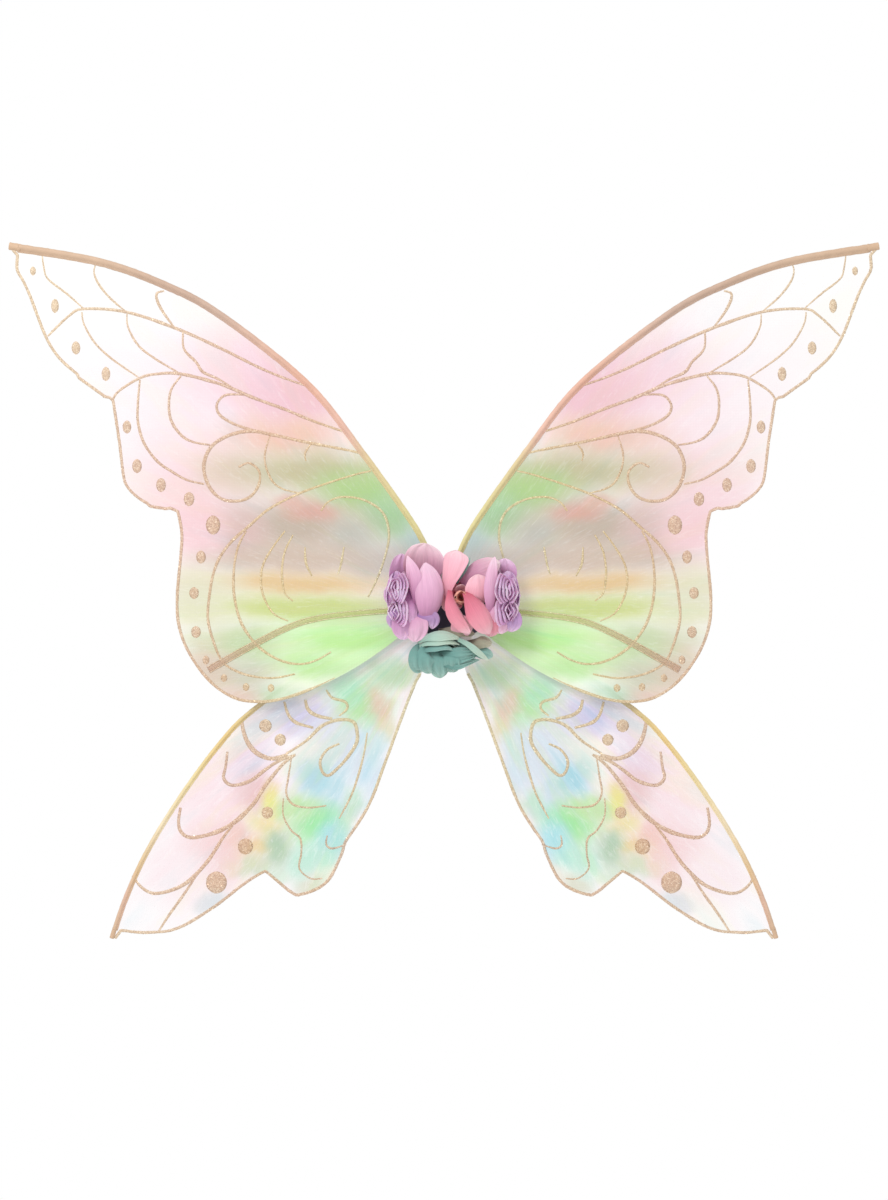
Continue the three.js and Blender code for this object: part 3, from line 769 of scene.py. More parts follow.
# Each vein is a few points in mm, outwards and up from the hub's middle.
veins = {
    "upper": {
        "tipFan1": [(402, 358), (400, 344), (396, 333), (377, 318), (361, 304)],
        "tipFan2": [(348, 349), (350, 340), (346, 329), (335, 315), (319, 301)],
        "tipHook": [(280, 321), (287, 319), (287, 312), (281, 300), (270, 285)],
        "main1": [(396, 276), (375, 296), (360, 303), (318, 300), (269, 284), (224, 264), (186, 245),
                  (160, 234), (137, 226)],
        "main2": [(332, 211), (325, 221), (304, 234), (287, 238), (263, 238), (224, 228), (190, 214),
                  (160, 203), (131, 191), (102, 181)],
        "link1": [(362, 300), (360, 288), (349, 269), (332, 253), (306, 235)],
        "link2": [(317, 298), (316, 285), (306, 267), (290, 254), (265, 239)],
        "link3": [(261, 280), (260, 263), (248, 250), (241, 240), (224, 232), (207, 221)],
        "hook": [(197, 217), (218, 217), (227, 208), (225, 198), (214, 190), (199, 184), (173, 177)],
        "curl": [(84, 159), (102, 163), (134, 169), (175, 178), (194, 181), (214, 177), (230, 168),
                 (238, 156), (240, 141), (234, 124), (222, 113), (206, 111), (193, 116), (185, 128),
                 (185, 141), (195, 149), (205, 145)],
        "bow1": [(263, 236), (272, 224), (275, 210), (273, 192), (263, 177), (251, 170), (234, 167)],
        "bow2": [(304, 232), (306, 210), (306, 190), (300, 169), (287, 151), (273, 141), (257, 132),
                 (240, 128)],
        "rib1": [(174, 176), (179, 159), (178, 145), (171, 130), (161, 123), (146, 119)],
        "rib2": [(133, 168), (139, 159), (138, 151)],
        "eye1": [(73, 141), (87, 138), (116, 129), (146, 118), (175, 103), (195, 86), (212, 71), (224, 55),
                 (231, 37), (235, 14), (236, -8), (230, -31), (222, -49), (210, -58), (193, -64),
                 (171, -66), (149, -62)],
        "eye2": [(198, 81), (206, 65), (210, 43), (210, 18), (204, -8), (191, -29), (176, -42), (159, -50),
                 (142, -52), (127, -48), (113, -40)],
        "eye3": [(159, 81), (171, 65), (181, 47), (183, 28), (179, 12), (170, -2), (156, -9)],
        "eye4": [(151, 77), (159, 61), (162, 43), (161, 26), (158, 17), (151, 11)],
        "eye5": [(139, 65), (138, 49), (132, 36)],
        "arch": [(123, 101), (116, 110), (102, 115), (80, 112), (61, 99), (55, 77), (60, 52), (68, 31),
                 (76, 15)],
        "archInner": [(100, 65), (103, 48), (106, 38)],
    },
    "lower": {
        "leaf1": [(203, -108), (200, -123), (194, -135), (185, -143), (172, -147), (157, -143)],
        "leaf2": [(217, -140), (219, -156), (221, -166), (215, -173), (205, -173), (192, -168), (179, -158),
                  (165, -149), (149, -143)],
        "leaf3": [(149, -143), (162, -153), (179, -174), (190, -191), (202, -204), (215, -214), (232, -222),
                  (253, -226), (263, -221), (266, -211), (264, -196)],
        "leaf4": [(212, -214), (222, -227), (237, -250), (255, -269), (271, -278), (290, -282), (303, -276),
                  (312, -264)],
        "leaf5": [(247, -262), (260, -282), (275, -303), (286, -320)],
        "top1": [(160, -90), (156, -103), (148, -111), (131, -116)],
        "top2": [(139, -88), (136, -98), (127, -104), (112, -107)],
        "top3": [(118, -78), (112, -86), (99, -90), (97, -97), (105, -104)],
        "curl": [(158, -142), (138, -129), (122, -114), (105, -108), (91, -110), (87, -121), (88, -132),
                 (97, -146), (107, -157), (116, -164), (122, -160), (124, -149), (117, -138), (105, -132)],
        "inner": [(77, -121), (80, -141), (86, -164), (93, -184), (105, -207)],
        "fold1": [(153, -147), (156, -166), (158, -182), (151, -193), (135, -196), (118, -194)],
        "fold2": [(161, -187), (161, -204), (153, -219), (144, -227), (143, -242), (145, -257), (134, -267),
                  (122, -267)],
        "fold3": [(117, -224), (118, -233), (112, -237), (98, -233)],
    },
}
# How thick a vein is against the others, where it isn't 1.
veinWeight = {
    "main1": 1.15, "main2": 1.2, "curl": 1.25, "tipFan1": 0.7, "tipFan2": 0.75, "link1": 0.75, "link2": 0.8,
    "rib1": 0.75, "rib2": 0.7, "eye3": 0.8, "eye4": 0.8, "eye5": 0.8, "arch": 0.9, "archInner": 0.8,
    "leaf1": 1.7, "leaf2": 1.25, "leaf3": 1.5, "leaf4": 1.35, "top1": 1.2, "top2": 1.4, "fold1": 0.75,
    "fold2": 0.7, "fold3": 0.7, "inner": 0.8,
}
# Each dot is its place, its width and its height in mm.
dots = {
    "upper": [(411, 341, 6, 9), (389, 306, 8, 14), (368, 264, 9, 13), (338, 238, 9, 14), (317, 185, 9, 13),
              (307, 146, 10, 14), (283, 127, 10, 14), (255, 113, 11, 14), (231, 87, 15, 19),
              (243, 55, 10, 13), (250, 19, 10, 12), (248, -20, 10, 12), (238, -48, 7, 9), (220, -66, 7, 8),
              (198, -75, 7, 8), (173, -76, 7, 8)],
    "lower": [(179, -114, 13, 13), (164, -128, 12, 12), (177, -201, 12, 12), (199, -235, 16, 16),
              (228, -271, 22, 22)],
}


def strokeObject(name, strokes):
    # each stroke is a list of (x, y, z, half width)
    curve = bpy.data.curves.new(name, "CURVE")
    curve.dimensions = "3D"
    for stroke in strokes:
        spline = curve.splines.new("POLY")
        spline.points.add(len(stroke) - 1)
        for point, (x, y, z, half) in zip(spline.points, stroke):
            point.co = (x, y, z, 1)
            point.radius = half
    made = bpy.data.objects.new(name, curve)
    bpy.context.scene.collection.objects.link(made)
    return made


def strokesFor(side, wing):
    # veins thin out to a point at their free ends
    lines = []
    for name, points in veins[wing].items():
        path = splineThrough([(u * mm, z * mm) for u, z in points], glitter["step"])
        half = glitter["lineWidth"] / 2 * veinWeight.get(name, 1.0)
        line = []
        for k, (u, z) in enumerate(path):
            share = k / (len(path) - 1)
            swell = 0.5 + 0.5 * math.sin(math.pi * (0.12 + 0.76 * share)) ** 1.4
            uneven = 1 + 0.2 * noise.noise(Vector((u * 90, z * 90, 2.0)))
            line.append((*onSheet(side, wing, u, z), max(half * swell * uneven, glitter["thinnest"])))
        lines.append(line)
    return lines


def borderFor(side, wing):
    # the trailing edge, from the tip round to the hub: the part of the outline away from the spar
    outline = [(x * sides[side], z) for x, z in outlines[side, wing]]
    count = len(outline)
    tip = min(range(count), key=lambda k: math.dist(outline[k], sparPaths[wing][-1]))
    walk = []
    for step in (1, -1):
        route, k = [outline[tip]], tip
        while outline[k][0] > glitter["borderEnds"][wing] and len(route) < count:
            k = (k + step) % count
            route.append(outline[k])
        walk.append(route)
    # the trailing edge is the longer way round, because it is cusped and lobed
    route = min(walk, key=lambda r: r[len(r) // 2][1])
    inset = glitter["borderWidth"] * 0.35
    stroke = []
    for k, (u, z) in enumerate(route):
        before, after = Vector(route[max(k - 1, 0)]), Vector(route[min(k + 1, len(route) - 1)])
        along = (after - before).normalized()
        inward = Vector((along.y, -along.x))
        if inward.dot(Vector(glitter["sheetMiddle"][wing]) - Vector((u, z))) < 0:
            inward = -inward
        uneven = 1 + 0.14 * noise.noise(Vector((u * 70, z * 70, 7.0)))
        spot = Vector((u, z)) + inward * inset
        if wing == "upper":
            uneven *= 0.35 + 0.65 * smoothly((len(route) - 1 - k) / 10)
        stroke.append((*onSheet(side, wing, spot.x, spot.y), glitter["borderWidth"] / 2 * uneven))
    return stroke


def dotStrokes(side, wing):
    # a dot is a short upright stroke with an oval outline
    strokes = []
    for u, z, wide, tall in dots[wing]:
        stroke = []
        for k in range(13):
            t = -1 + k / 6
            half = wide * mm / 2 * math.sqrt(max(1 - t * t, 0.02))
            stroke.append((*onSheet(side, wing, u * mm, (z + t * tall / 2) * mm), half))
        strokes.append(stroke)
    return strokes


def geometryTree(name, floats, others):
    # a new tree, its inputs' identifiers by name, and what its input node gives
    tree = bpy.data.node_groups.new(name, "GeometryNodeTree")
    tree.interface.new_socket("Geometry", in_out="INPUT", socket_type="NodeSocketGeometry")
    sockets = {}
    for label, kind in [(label, "Float") for label in floats] + list(others.items()):
        made = tree.interface.new_socket(label, in_out="INPUT", socket_type="NodeSocket" + kind)
        sockets[label] = made.identifier
        if label == "Step":
            made.default_value = glitter["beadStep"]
    tree.interface.new_socket("Geometry", in_out="OUTPUT", socket_type="NodeSocketGeometry")
    return tree, sockets, node(tree, "NodeGroupInput").outputs


def glitterTree():
    # a curve becomes a low, ragged bead of glue, with flakes scattered over it
    tree, sockets, given = geometryTree(
        "glitterBead", ("Step", "Height", "Rough Edge", "Flake Size", "Flake Density"),
        {"Seed": "Int", "Glue": "Material", "Flakes": "Material"})
    spaced = node(tree, "GeometryNodeResampleCurve", links={
        "Curve": given["Geometry"], "Length": given["Step"]}, mode="LENGTH")
    facing = node(tree, "GeometryNodeSetCurveNormal", {"Normal": (0, 1, 0)}, {"Curve": spaced.outputs[0]},
                  mode="FREE")
    ring = node(tree, "GeometryNodeCurvePrimitiveCircle", {"Resolution": 10, "Radius": 1.0})
    lowRing = node(tree, "GeometryNodeTransform", links={
        "Geometry": ring.outputs["Curve"],
        "Scale": node(tree, "ShaderNodeCombineXYZ", {"Y": 1.0, "Z": 1.0}, {"X": given["Height"]}).outputs[0]})
    bead = node(tree, "GeometryNodeCurveToMesh", {"Fill Caps": True}, {
        "Curve": facing.outputs[0], "Profile Curve": lowRing.outputs[0],
        "Scale": node(tree, "GeometryNodeInputRadius").outputs[0]})
    ragged = node(tree, "ShaderNodeTexNoise", {"Scale": 900.0, "Detail": 2.0},
                  {"Vector": node(tree, "GeometryNodeInputPosition").outputs[0]})
    push = vector(tree, "SUBTRACT", ragged.outputs["Color"], (0.5, 0.5, 0.5))
    push = vector(tree, "MULTIPLY", push, (1.0, 0.25, 1.0))
    push = vector(tree, "SCALE", push, given["Rough Edge"])
    rough = node(tree, "GeometryNodeSetPosition", links={"Geometry": bead.outputs[0], "Offset": push})
    glued = node(tree, "GeometryNodeSetMaterial", links={
        "Geometry": rough.outputs[0], "Material": given["Glue"]})

    spots = node(tree, "GeometryNodeDistributePointsOnFaces", links={
        "Mesh": rough.outputs[0], "Density": given["Flake Density"], "Seed": given["Seed"]})
    flake = node(tree, "GeometryNodeMeshCircle", {"Vertices": 5}, {"Radius": given["Flake Size"]},
                 fill_type="NGON")
    tip = node(tree, "FunctionNodeRandomValue", {"Min": (-0.7, -0.7, -3.1), "Max": (0.7, 0.7, 3.1)},
               {"Seed": given["Seed"]}, data_type="FLOAT_VECTOR")
    tilted = node(tree, "FunctionNodeRotateRotation", links={
        "Rotation": spots.outputs["Rotation"],
        "Rotate By": node(tree, "FunctionNodeEulerToRotation", links={0: tip.outputs[0]}).outputs[0]},
        rotation_space="LOCAL")
    varied = node(tree, "FunctionNodeRandomValue", {"Min": (0.5,) * 3, "Max": (1.25,) * 3},
                  {"Seed": given["Seed"]}, data_type="FLOAT_VECTOR")
    strewn = node(tree, "GeometryNodeInstanceOnPoints", links={
        "Points": spots.outputs["Points"], "Instance": flake.outputs[0], "Rotation": tilted.outputs[0],
        "Scale": varied.outputs[0]})
    real = node(tree, "GeometryNodeRealizeInstances", links={"Geometry": strewn.outputs[0]})
    shiny = node(tree, "GeometryNodeSetMaterial", links={
        "Geometry": real.outputs[0], "Material": given["Flakes"]})
    joined = node(tree, "GeometryNodeJoinGeometry")
    tree.links.new(glued.outputs[0], joined.inputs[0])
    tree.links.new(shiny.outputs[0], joined.inputs[0])
    node(tree, "NodeGroupOutput", links={0: joined.outputs[0]})
    return tree, sockets


def baked(source, tree, sockets, values):
    # runs a tree on an object and keeps the result as a plain mesh
    modifier = source.modifiers.new("made", "NODES")
    modifier.node_group = tree
    for key, value in values.items():
        modifier[sockets[key]] = value
    bpy.context.view_layer.update()
    graph = bpy.context.evaluated_depsgraph_get()
    mesh = bpy.data.meshes.new_from_object(source.evaluated_get(graph))
    name = source.name
    bpy.data.objects.remove(source)
    made = bpy.data.objects.new(name, mesh)
    mesh.name = name
    bpy.context.scene.collection.objects.link(made)
    return made


def glitterOn(side, wing, tree, sockets):
    body = side + "_" + wing + "_wing"
    shared = {"Flake Size": glitter["flakeSize"], "Flake Density": glitter["flakeDensity"],
              "Rough Edge": glitter["roughEdge"], "Glue": glueFor[wing], "Flakes": flakeGold[wing]}
    for part, strokes, height in (
        ("veins", strokesFor(side, wing) + [borderFor(side, wing)], glitter["height"]),
        ("dots", dotStrokes(side, wing), glitter["dotHeight"]),
    ):
        source = strokeObject(side + "_" + wing + "_" + part, strokes)
        made = baked(source, tree, sockets, {**shared, "Height": height, "Seed": 4 + len(part)})
        place(made, body, wing + "_organza")
        print("glitter", made.name, len(made.data.polygons), "faces")


# the wires and their fabric sleeves
frames = {
    "span": {"upper": (435, 366), "lower": (333, -327)},  # hub middle to tip, outwards and up
    "sparStart": {"upper": (14, 56), "lower": (24.55, -9)},
    "spar": {
        "upper": [(0.071, 0.243), (0.191, 0.443), (0.315, 0.626), (0.515, 0.814), (0.644, 0.896),
                  (0.795, 0.959), (1, 1)],
        "lower": [(0.21, 0.083), (0.39, 0.171), (0.58, 0.303), (0.679, 0.407), (0.796, 0.569),
                  (0.895, 0.734), (0.961, 0.881), (1, 1)],
    },
    "rib": [(24.55, 1), (58.7, 1.1), (124, -5.9), (166.2, -20.1), (235.8, -57.8)],
    "sleeveWidth": {"upper": (5.0, 7.0), "lower": (3.5, 4.2), "rib": (5, 5.6)},
    "seamLap": 1.1 * mm,  # how far the sleeve laps over the sheet
    "tapeLength": 12 * mm, "tapeWraps": 4,
    "wireRadius": 1.2 * mm, "hingeLine": (14, -26), "pucker": 0.32 * mm,
    "ribbonDepth": {"upper": 2.5 * mm, "lower": 2.2 * mm, "rib": 2.1 * mm},
    "tapeDepth": {"upper": 2.75 * mm, "lower": 2.4 * mm},
    "stitchSpacing": 3.1 * mm, "stitchLength": 2.1 * mm, "threadRadius": 0.2 * mm,
}


def sparLine(wing, step):
    wide, tall = frames["span"][wing]
    points = [frames["sparStart"][wing]] + [(u * wide, z * tall) for u, z in frames["spar"][wing]]
    return splineThrough([(u * mm, z * mm) for u, z in points], step)


def alongOf(line, k):
    ahead = Vector(line[min(k + 1, len(line) - 1)]) - Vector(line[max(k - 1, 0)])
    return ahead.normalized()


def sleeveOutline(half, wire, lap, thin):
    # a folded ribbon: round over the wire at the outer edge, then down to the lapped seam
    profile = [(-half, 0.25), (-half + 0.5 * mm, 0.72), (-half * 0.45, 1.0), (0, 1.08), (half * 0.4, 0.96),
               (half * 0.75, 0.5), (half, 0.3), (half + lap * 0.8, 0.22), (half + lap, 0.12)]
    front = [(x, max(wire * t, thin)) for x, t in profile]
    return front + [(x, -y) for x, y in reversed(front)]


def rumple(piece, amount, size, seed):
    # pushes the surface in and out a little, as cloth over something hard
    mesh = piece.data
    normals = [v.normal.copy() for v in mesh.vertices]
    for vert, normal in zip(mesh.vertices, normals):
        vert.co += normal * amount * noise.noise(vert.co / size + Vector((seed, 0, 0)))
    mesh.update()


def sleeve(side, wing, line, planeY, widths, wire, material, name, replaced):
    way = sides[side]
    count = len(line) - 1
    first, last = widths
    half = first / 2 * mm
    path = [(way * u, planeY, z) for u, z in line]
    across = []
    for k in range(count + 1):
        ahead = alongOf(line, k)
        across.append(Vector((way * ahead.y, 0, -ahead.x)))
    grow = []
    for k in range(count + 1):
        # the ribbon is gathered a little at each stitch
        gathered = 1 + 0.03 * noise.noise(Vector((k * 0.9, way, 4.0)))
        grow.append((first + (last - first) * k / count) / first * gathered)
    made = sweep(name, path, lambda k: across[k], sleeveOutline(half, wire, frames["seamLap"], 0.3 * mm),
                 material, grow)
    rumple(made, frames["pucker"], 3.4 * mm, way * 7)
    place(made, side + "_" + wing + "_wing", replaced[1], replaced[0])
    return path, across, grow, half


def stitchTree():
    # short threads end to end along a curve
    tree, sockets, given = geometryTree(
        "runningStitch", ("Spacing", "Stitch Length", "Thread Radius"), {"Thread": "Material"})
    points = node(tree, "GeometryNodeCurveToPoints", links={
        "Curve": given["Geometry"], "Length": given["Spacing"]}, mode="LENGTH")
    thread = node(tree, "GeometryNodeMeshUVSphere", {"Segments": 6, "Rings": 5, "Radius": 1.0})
    size = node(tree, "ShaderNodeCombineXYZ", links={
        "X": given["Thread Radius"], "Y": given["Thread Radius"],
        "Z": calc(tree, "MULTIPLY", given["Stitch Length"], 0.5)})
    shaped = node(tree, "GeometryNodeTransform", links={
        "Geometry": thread.outputs[0], "Scale": size.outputs[0]})
    sewn = node(tree, "GeometryNodeInstanceOnPoints", links={
        "Points": points.outputs["Points"], "Instance": shaped.outputs[0],
        "Rotation": points.outputs["Rotation"]})
    real = node(tree, "GeometryNodeRealizeInstances", links={"Geometry": sewn.outputs[0]})
    done = node(tree, "GeometryNodeSetMaterial", links={
        "Geometry": real.outputs[0], "Material": given["Thread"]})
    smooth = node(tree, "GeometryNodeSetShadeSmooth", links={"Geometry": done.outputs[0]})
    node(tree, "NodeGroupOutput", links={0: smooth.outputs[0]})
    return tree, sockets


def sewAlong(name, runs, body, slot, thread):
    source = strokeObject(name, [[(*point, 1.0) for point in run] for run in runs])
    made = baked(source, stitches[0], stitches[1], {
        "Spacing": frames["stitchSpacing"], "Stitch Length": frames["stitchLength"],
        "Thread Radius": frames["threadRadius"], "Thread": thread})
    return place(made, body, slot)


def tipTape(side, wing, line, planeY, material):
    # cloth tape wound over the sleeve's end, its turns showing as low ridges
    way = sides[side]
    length = frames["tapeLength"]
    count = round(length / (0.75 * mm))
    end = Vector(line[-1])
    back = -alongOf(line, len(line) - 1)
    path = []
    for k in range(count + 1):
        spot = end + back * (length * (1 - k / count))
        path.append((way * spot.x, planeY, spot.y))
    ahead = -back
    across = Vector((way * ahead.y, 0, -ahead.x))
    wide = frames["sleeveWidth"][wing][1] / 2 * mm + 0.25 * mm
    deep = frames["tapeDepth"][wing]
    outline = circle(wide, deep, 28, 0.5)
    outline = [(x, y * (1 - 0.25 * abs(x / wide) ** 3)) for x, y in outline]
    grow = []
    for k in range(count + 1):
        turn = (k / count * frames["tapeWraps"]) % 1.0
        grow.append((1.0 + 0.05 * turn) * (0.9 if k in (0, count) else 1.0))
    made = sweep(side + "_" + wing + "_tip_tape", path, lambda k: across, outline, material, grow)
    rumple(made, 0.25 * mm, 2.5 * mm, 3)
    place(made, side + "_" + wing + "_wing", "tan_tape", side + "_" + wing + "_tip_cap")


def roundWire(name, points, body, replaced, material):
    # a smooth round wire through the same bends as the frame's
    radius = frames["wireRadius"]
    ring = circle(radius, radius, 14)
    side = Vector((0, 1, 0))
    sideways = []
    for k in range(len(points)):
        ahead = (Vector(points[min(k + 1, len(points) - 1)]) - Vector(points[max(k - 1, 0)])).normalized()
        side = (side - ahead * side.dot(ahead)).normalized()
        sideways.append(side.copy())
    made = sweep(name, points, lambda k: sideways[k], ring, material)
    place(made, body, "spring_wire", replaced)


def frameWire(side, wing, line, ribPath):
    way = sides[side]
    legX, legY = frames["hingeLine"]
    sparPath = [Vector((u, planes[wing], z)) for u, z in line[:-4]]

    def leg(*heights):
        return [Vector((legX * mm, legY * mm, z * mm)) for z in heights]

    def bend(legEnd, root):
        corner = Vector((legX * mm, legY * mm, root.z))
        return [legEnd.lerp(corner, t).lerp(corner.lerp(root, t), t) for t in (0.15, 0.3, 0.5, 0.7, 0.85)]

    if wing == "upper":
        rib = [Vector((p[0] * way, p[1], p[2])) for p in ribPath[:-2]]
        straight = leg(9, 15, 21, 27, 34, 41, 46)
        points = rib[::-1] + bend(straight[0], rib[0])[::-1] + straight + sparPath
    else:
        straight = leg(-48, -42, -36, -30, -24, -17)
        points = straight + bend(straight[-1], sparPath[0]) + sparPath
    points = [(p.x * way, p.y, p.z) for p in points]
    body = side + "_" + wing + "_wing"
    roundWire(side + "_" + wing + "_frame_wire", points, body, side + "_" + wing + "_wire", wireSteel)


def boundFrame(side, wing):
    # one wing's spar, rib, seam stitches, tape and wire
    body = side + "_" + wing + "_wing"
    line = sparLine(wing, 3 * mm)
    kept = line[:-round((frames["tapeLength"] - 4 * mm) / (3 * mm))]
    material, thread = ribbons[wing]
    slot = "peach_ribbon" if wing == "upper" else "gold_ribbon"
    path, across, grow, half = sleeve(
        side, wing, kept, planes[wing], frames["sleeveWidth"][wing], frames["ribbonDepth"][wing], material,
        body.replace("_wing", "_ribbon_sleeve"), (side + "_" + wing + "_spar_sleeve", slot))
    runs = []
    for face in (-1, 1):
        runs.append([Vector(p) + a * (half * g + 0.1 * mm) + Vector((0, face * 0.75 * mm, 0))
                     for p, a, g in zip(path, across, grow)])
    if wing == "upper":
        rib = splineThrough([(u * mm, z * mm) for u, z in frames["rib"]], 3 * mm)
        low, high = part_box(side + "_rib_sleeve")
        ribY = (low.y + high.y) / 2
        ribPath = sleeve(
            side, wing, rib, ribY, frames["sleeveWidth"]["rib"], frames["ribbonDepth"]["rib"],
            ribbons["rib"][0], side + "_rib_ribbon", (side + "_rib_sleeve", "sheer_ribbon"))[0]
        ribTape(side, rib)
    else:
        ribPath = []
    sewAlong(side + "_" + wing + "_seam_stitches", runs, body, slot, thread)
    tipTape(side, wing, line, planes[wing], tapeCloth)
    frameWire(side, wing, line, ribPath)
    print("frame", body)


def ribTape(side, rib):
    # the narrow sheer tape that holds the rib to the front of the sheet, with a thin glitter line down both
    # edges
    way = sides[side]
    body = side + "_upper_wing"
    count = len(rib) - 1
    path, across = [], []
    for k, (u, z) in enumerate(rib):
        x, y, z = onSheet(side, "upper", u, z)
        path.append((x, y - 0.35 * mm, z))
        ahead = alongOf(rib, k)
        across.append(Vector((way * ahead.y, 0, -ahead.x)))
    flat = [(-2.9 * mm, 0.08 * mm), (0, 0.12 * mm), (2.9 * mm, 0.08 * mm), (2.9 * mm, -0.08 * mm),
            (0, -0.12 * mm), (-2.9 * mm, -0.08 * mm)]
    grow = [0.78 + 0.36 * k / count for k in range(count + 1)]
    tape = sweep(side + "_rib_tape", path, lambda k: across[k], flat, ribbons["rib"][0], grow)
    place(tape, body, "sheer_ribbon")
    for edge, way in (("upper", -1), ("lower", 1)):
        stroke = []
        for k, (p, a) in enumerate(zip(path, across)):
            thin = glitter["lineWidth"] * 0.15 * (1 + 0.3 * noise.noise(Vector((k * 0.7, way, 1))))
            stroke.append((*(Vector(p) + a * way * 2.7 * mm * grow[k] - Vector((0, 0.1 * mm, 0))), thin))
        source = strokeObject(side + "_rib_" + edge + "_glitter", [stroke])
        made = baked(source, beadTree, beadSockets, {
            "Flake Size": glitter["flakeSize"] * 0.8, "Flake Density": glitter["flakeDensity"] * 0.5,
            "Rough Edge": glitter["roughEdge"] * 0.5, "Glue": glueFor["upper"], "Flakes": flakeGold["upper"],
            "Height": 0.3, "Seed": 9})
        place(made, body, "sheer_ribbon")


# the cloth roses, and the room left behind their petals for the upper wings when they fold forward
rosesClear = {"front": 6.4 * mm, "fold": math.radians(12), "easing": 6 * mm}
petalRule = {
    "rows": 18, "columns": 14, "thickness": 0.35 * mm, "crumple": 0.9 * mm,
    # shares of a petal's length: where it is at its widest, and where its rim begins to roll back
    "widest": 0.55, "lip": 0.78,
}


def petal(spine, width, facing, cup, tip, ruffle, roll, waves=3.0, seed=0, base=0.3, fan=0.0):
    # one petal: a spine from base to tip, a hollow side that faces "facing", and a shaped rim
    rows, columns = petalRule["rows"], petalRule["columns"]
    spine = [tuple(c * mm for c in p) for p in spine]
    path = [Vector(p) for p in splineThrough(spine, None, rows)]
    facing = Vector(facing).normalized()
    vertices, uvs, faces = [], [], []
    reach = width * mm
    bendRadius = reach / (2 * cup) if abs(cup) > 0.01 else 1e6
    for i, here in enumerate(path):
        v = i / rows
        ahead = (path[min(i + 1, rows)] - path[max(i - 1, 0)]).normalized()
        across = ahead.cross(facing).normalized()
        inward = across.cross(ahead).normalized()
        if inward.dot(facing) < 0:
            inward = -inward
        grown = base + (1 - base) * (smoothly(v / petalRule["widest"]) * (1 - fan) + min(v / 0.85, 1) * fan)
        past = max(0.0, (v - 0.5 - 0.3 * fan) / (0.5 - 0.3 * fan))
        round_ = max(1 - past ** (2.8 - 1.3 * tip), 0.0) ** (0.5 + 0.5 * tip)
        half = reach / 2 * max(grown * round_, 0.05)
        loose = v * v * min(1.0, half / (0.3 * reach))
        for j in range(columns + 1):
            u = -1 + 2 * j / columns
            angle = u * half / bendRadius
            side = bendRadius * math.sin(angle)
            deep = bendRadius * (1 - math.cos(angle))
            deep += ruffle * mm * math.sin(waves * math.pi * u + seed * 2.1) * loose
            edge = smoothly((abs(u) - 0.55) / 0.45) * smoothly((v - 0.2) / 0.5)
            lip = smoothly((v - petalRule["lip"]) / (1 - petalRule["lip"]))
            deep -= roll * mm * (edge + lip * (1 - 0.5 * edge))
            rough = noise.noise(Vector((u * 2.2 + seed, v * 3.1, seed * 1.7)))
            deep += petalRule["crumple"] * rough * min(v, loose * 2)
            vertices.append(here + across * side + inward * deep)
            uvs.append((0.5 + u / 2 + seed, v))
    across = columns + 1
    for i in range(rows):
        for j in range(columns):
            a = i * across + j
            faces.append((a, a + 1, a + across + 1, a + across))
    return vertices, uvs, faces


def clearOfWings(point):
    # petals ease to a stop in front of the upper wings' sheets at the end of their forward fold
    legX, legY = frames["hingeLine"]
    out = max(0.0, abs(point.x) - legX * mm)
    stop = legY * mm - rosesClear["front"] - out * math.tan(rosesClear["fold"])
    soft = rosesClear["easing"]
    past = point.y - (stop - soft)
    if past > 0:
        point = Vector((point.x, stop - soft * math.exp(-past / soft), point.z))
    return point


def petalsPiece(name, petals, materials, body, slot, *replaced):
    # several petals as one piece; each is (its surface, the number of its cloth)
    vertices, uvs, faces, cloths = [], [], [], []
    for (points, places, quads), number in petals:
        start = len(vertices)
        vertices += [clearOfWings(point) for point in points]
        uvs += places
        faces += [tuple(start + k for k in quad) for quad in quads]
        cloths += [number] * len(quads)
    made = newObject(name, vertices, faces, materials[0], uvs)
    for material in materials[1:]:
        made.data.materials.append(material)
    for face, number in zip(made.data.polygons, cloths):
        face.material_index = number
    made.data.update()
    solid = made.modifiers.new("clothThickness", "SOLIDIFY")
    solid.thickness, solid.offset = petalRule["thickness"], 0.0
    finer = made.modifiers.new("finer", "SUBSURF")
    finer.levels = finer.render_levels = 1
    place(made, body, slot, *replaced)
    print("petals", name, len(petals))
    return made


def ringOf(rose, radii, heights, width, count, turn, cup, roll=1.0, ruffle=0.8, tip=0.25, seed=0,
           stretch=(1.0, 1.0), leave=()):
    # petals set round the rose's axis: radii and heights run from base to tip, and some places stay empty
    base, axis = Vector(rose["base"]), Vector(rose["axis"]).normalized()
    up = Vector((0, 0, 1))
    right = axis.cross(up).normalized()
    up = right.cross(axis).normalized()
    petals = []
    for k in (k for k in range(count) if k not in leave):
        angle = turn + math.tau * k / count + 0.12 * math.sin(k * 5.1 + seed)
        out = right * math.cos(angle) * stretch[0] + up * math.sin(angle) * stretch[1]
        vary = 1 + 0.08 * math.sin(k * 3.7 + seed)
        spine = [tuple(base + out * r * vary + axis * h * vary) for r, h in zip(radii, heights)]
        facing = -out + axis * 0.5
        petals.append(petal(spine, width * vary, facing, cup, tip, ruffle, roll, 2.5, seed + k))
    return petals


roses = {
    "lilac_left": {"base": (-36, -43, 13), "axis": (-0.42, -0.9, 0.02)},
    "pink": {"base": (16, -43, 14), "axis": (0.05, -1, 0.05)},
    "lilac_right": {"base": (50, -43, 15), "axis": (0.42, -0.9, 0.0)},
    "mint": {"base": (3, -43, -32), "axis": (-0.05, -0.85, -0.52)},
}


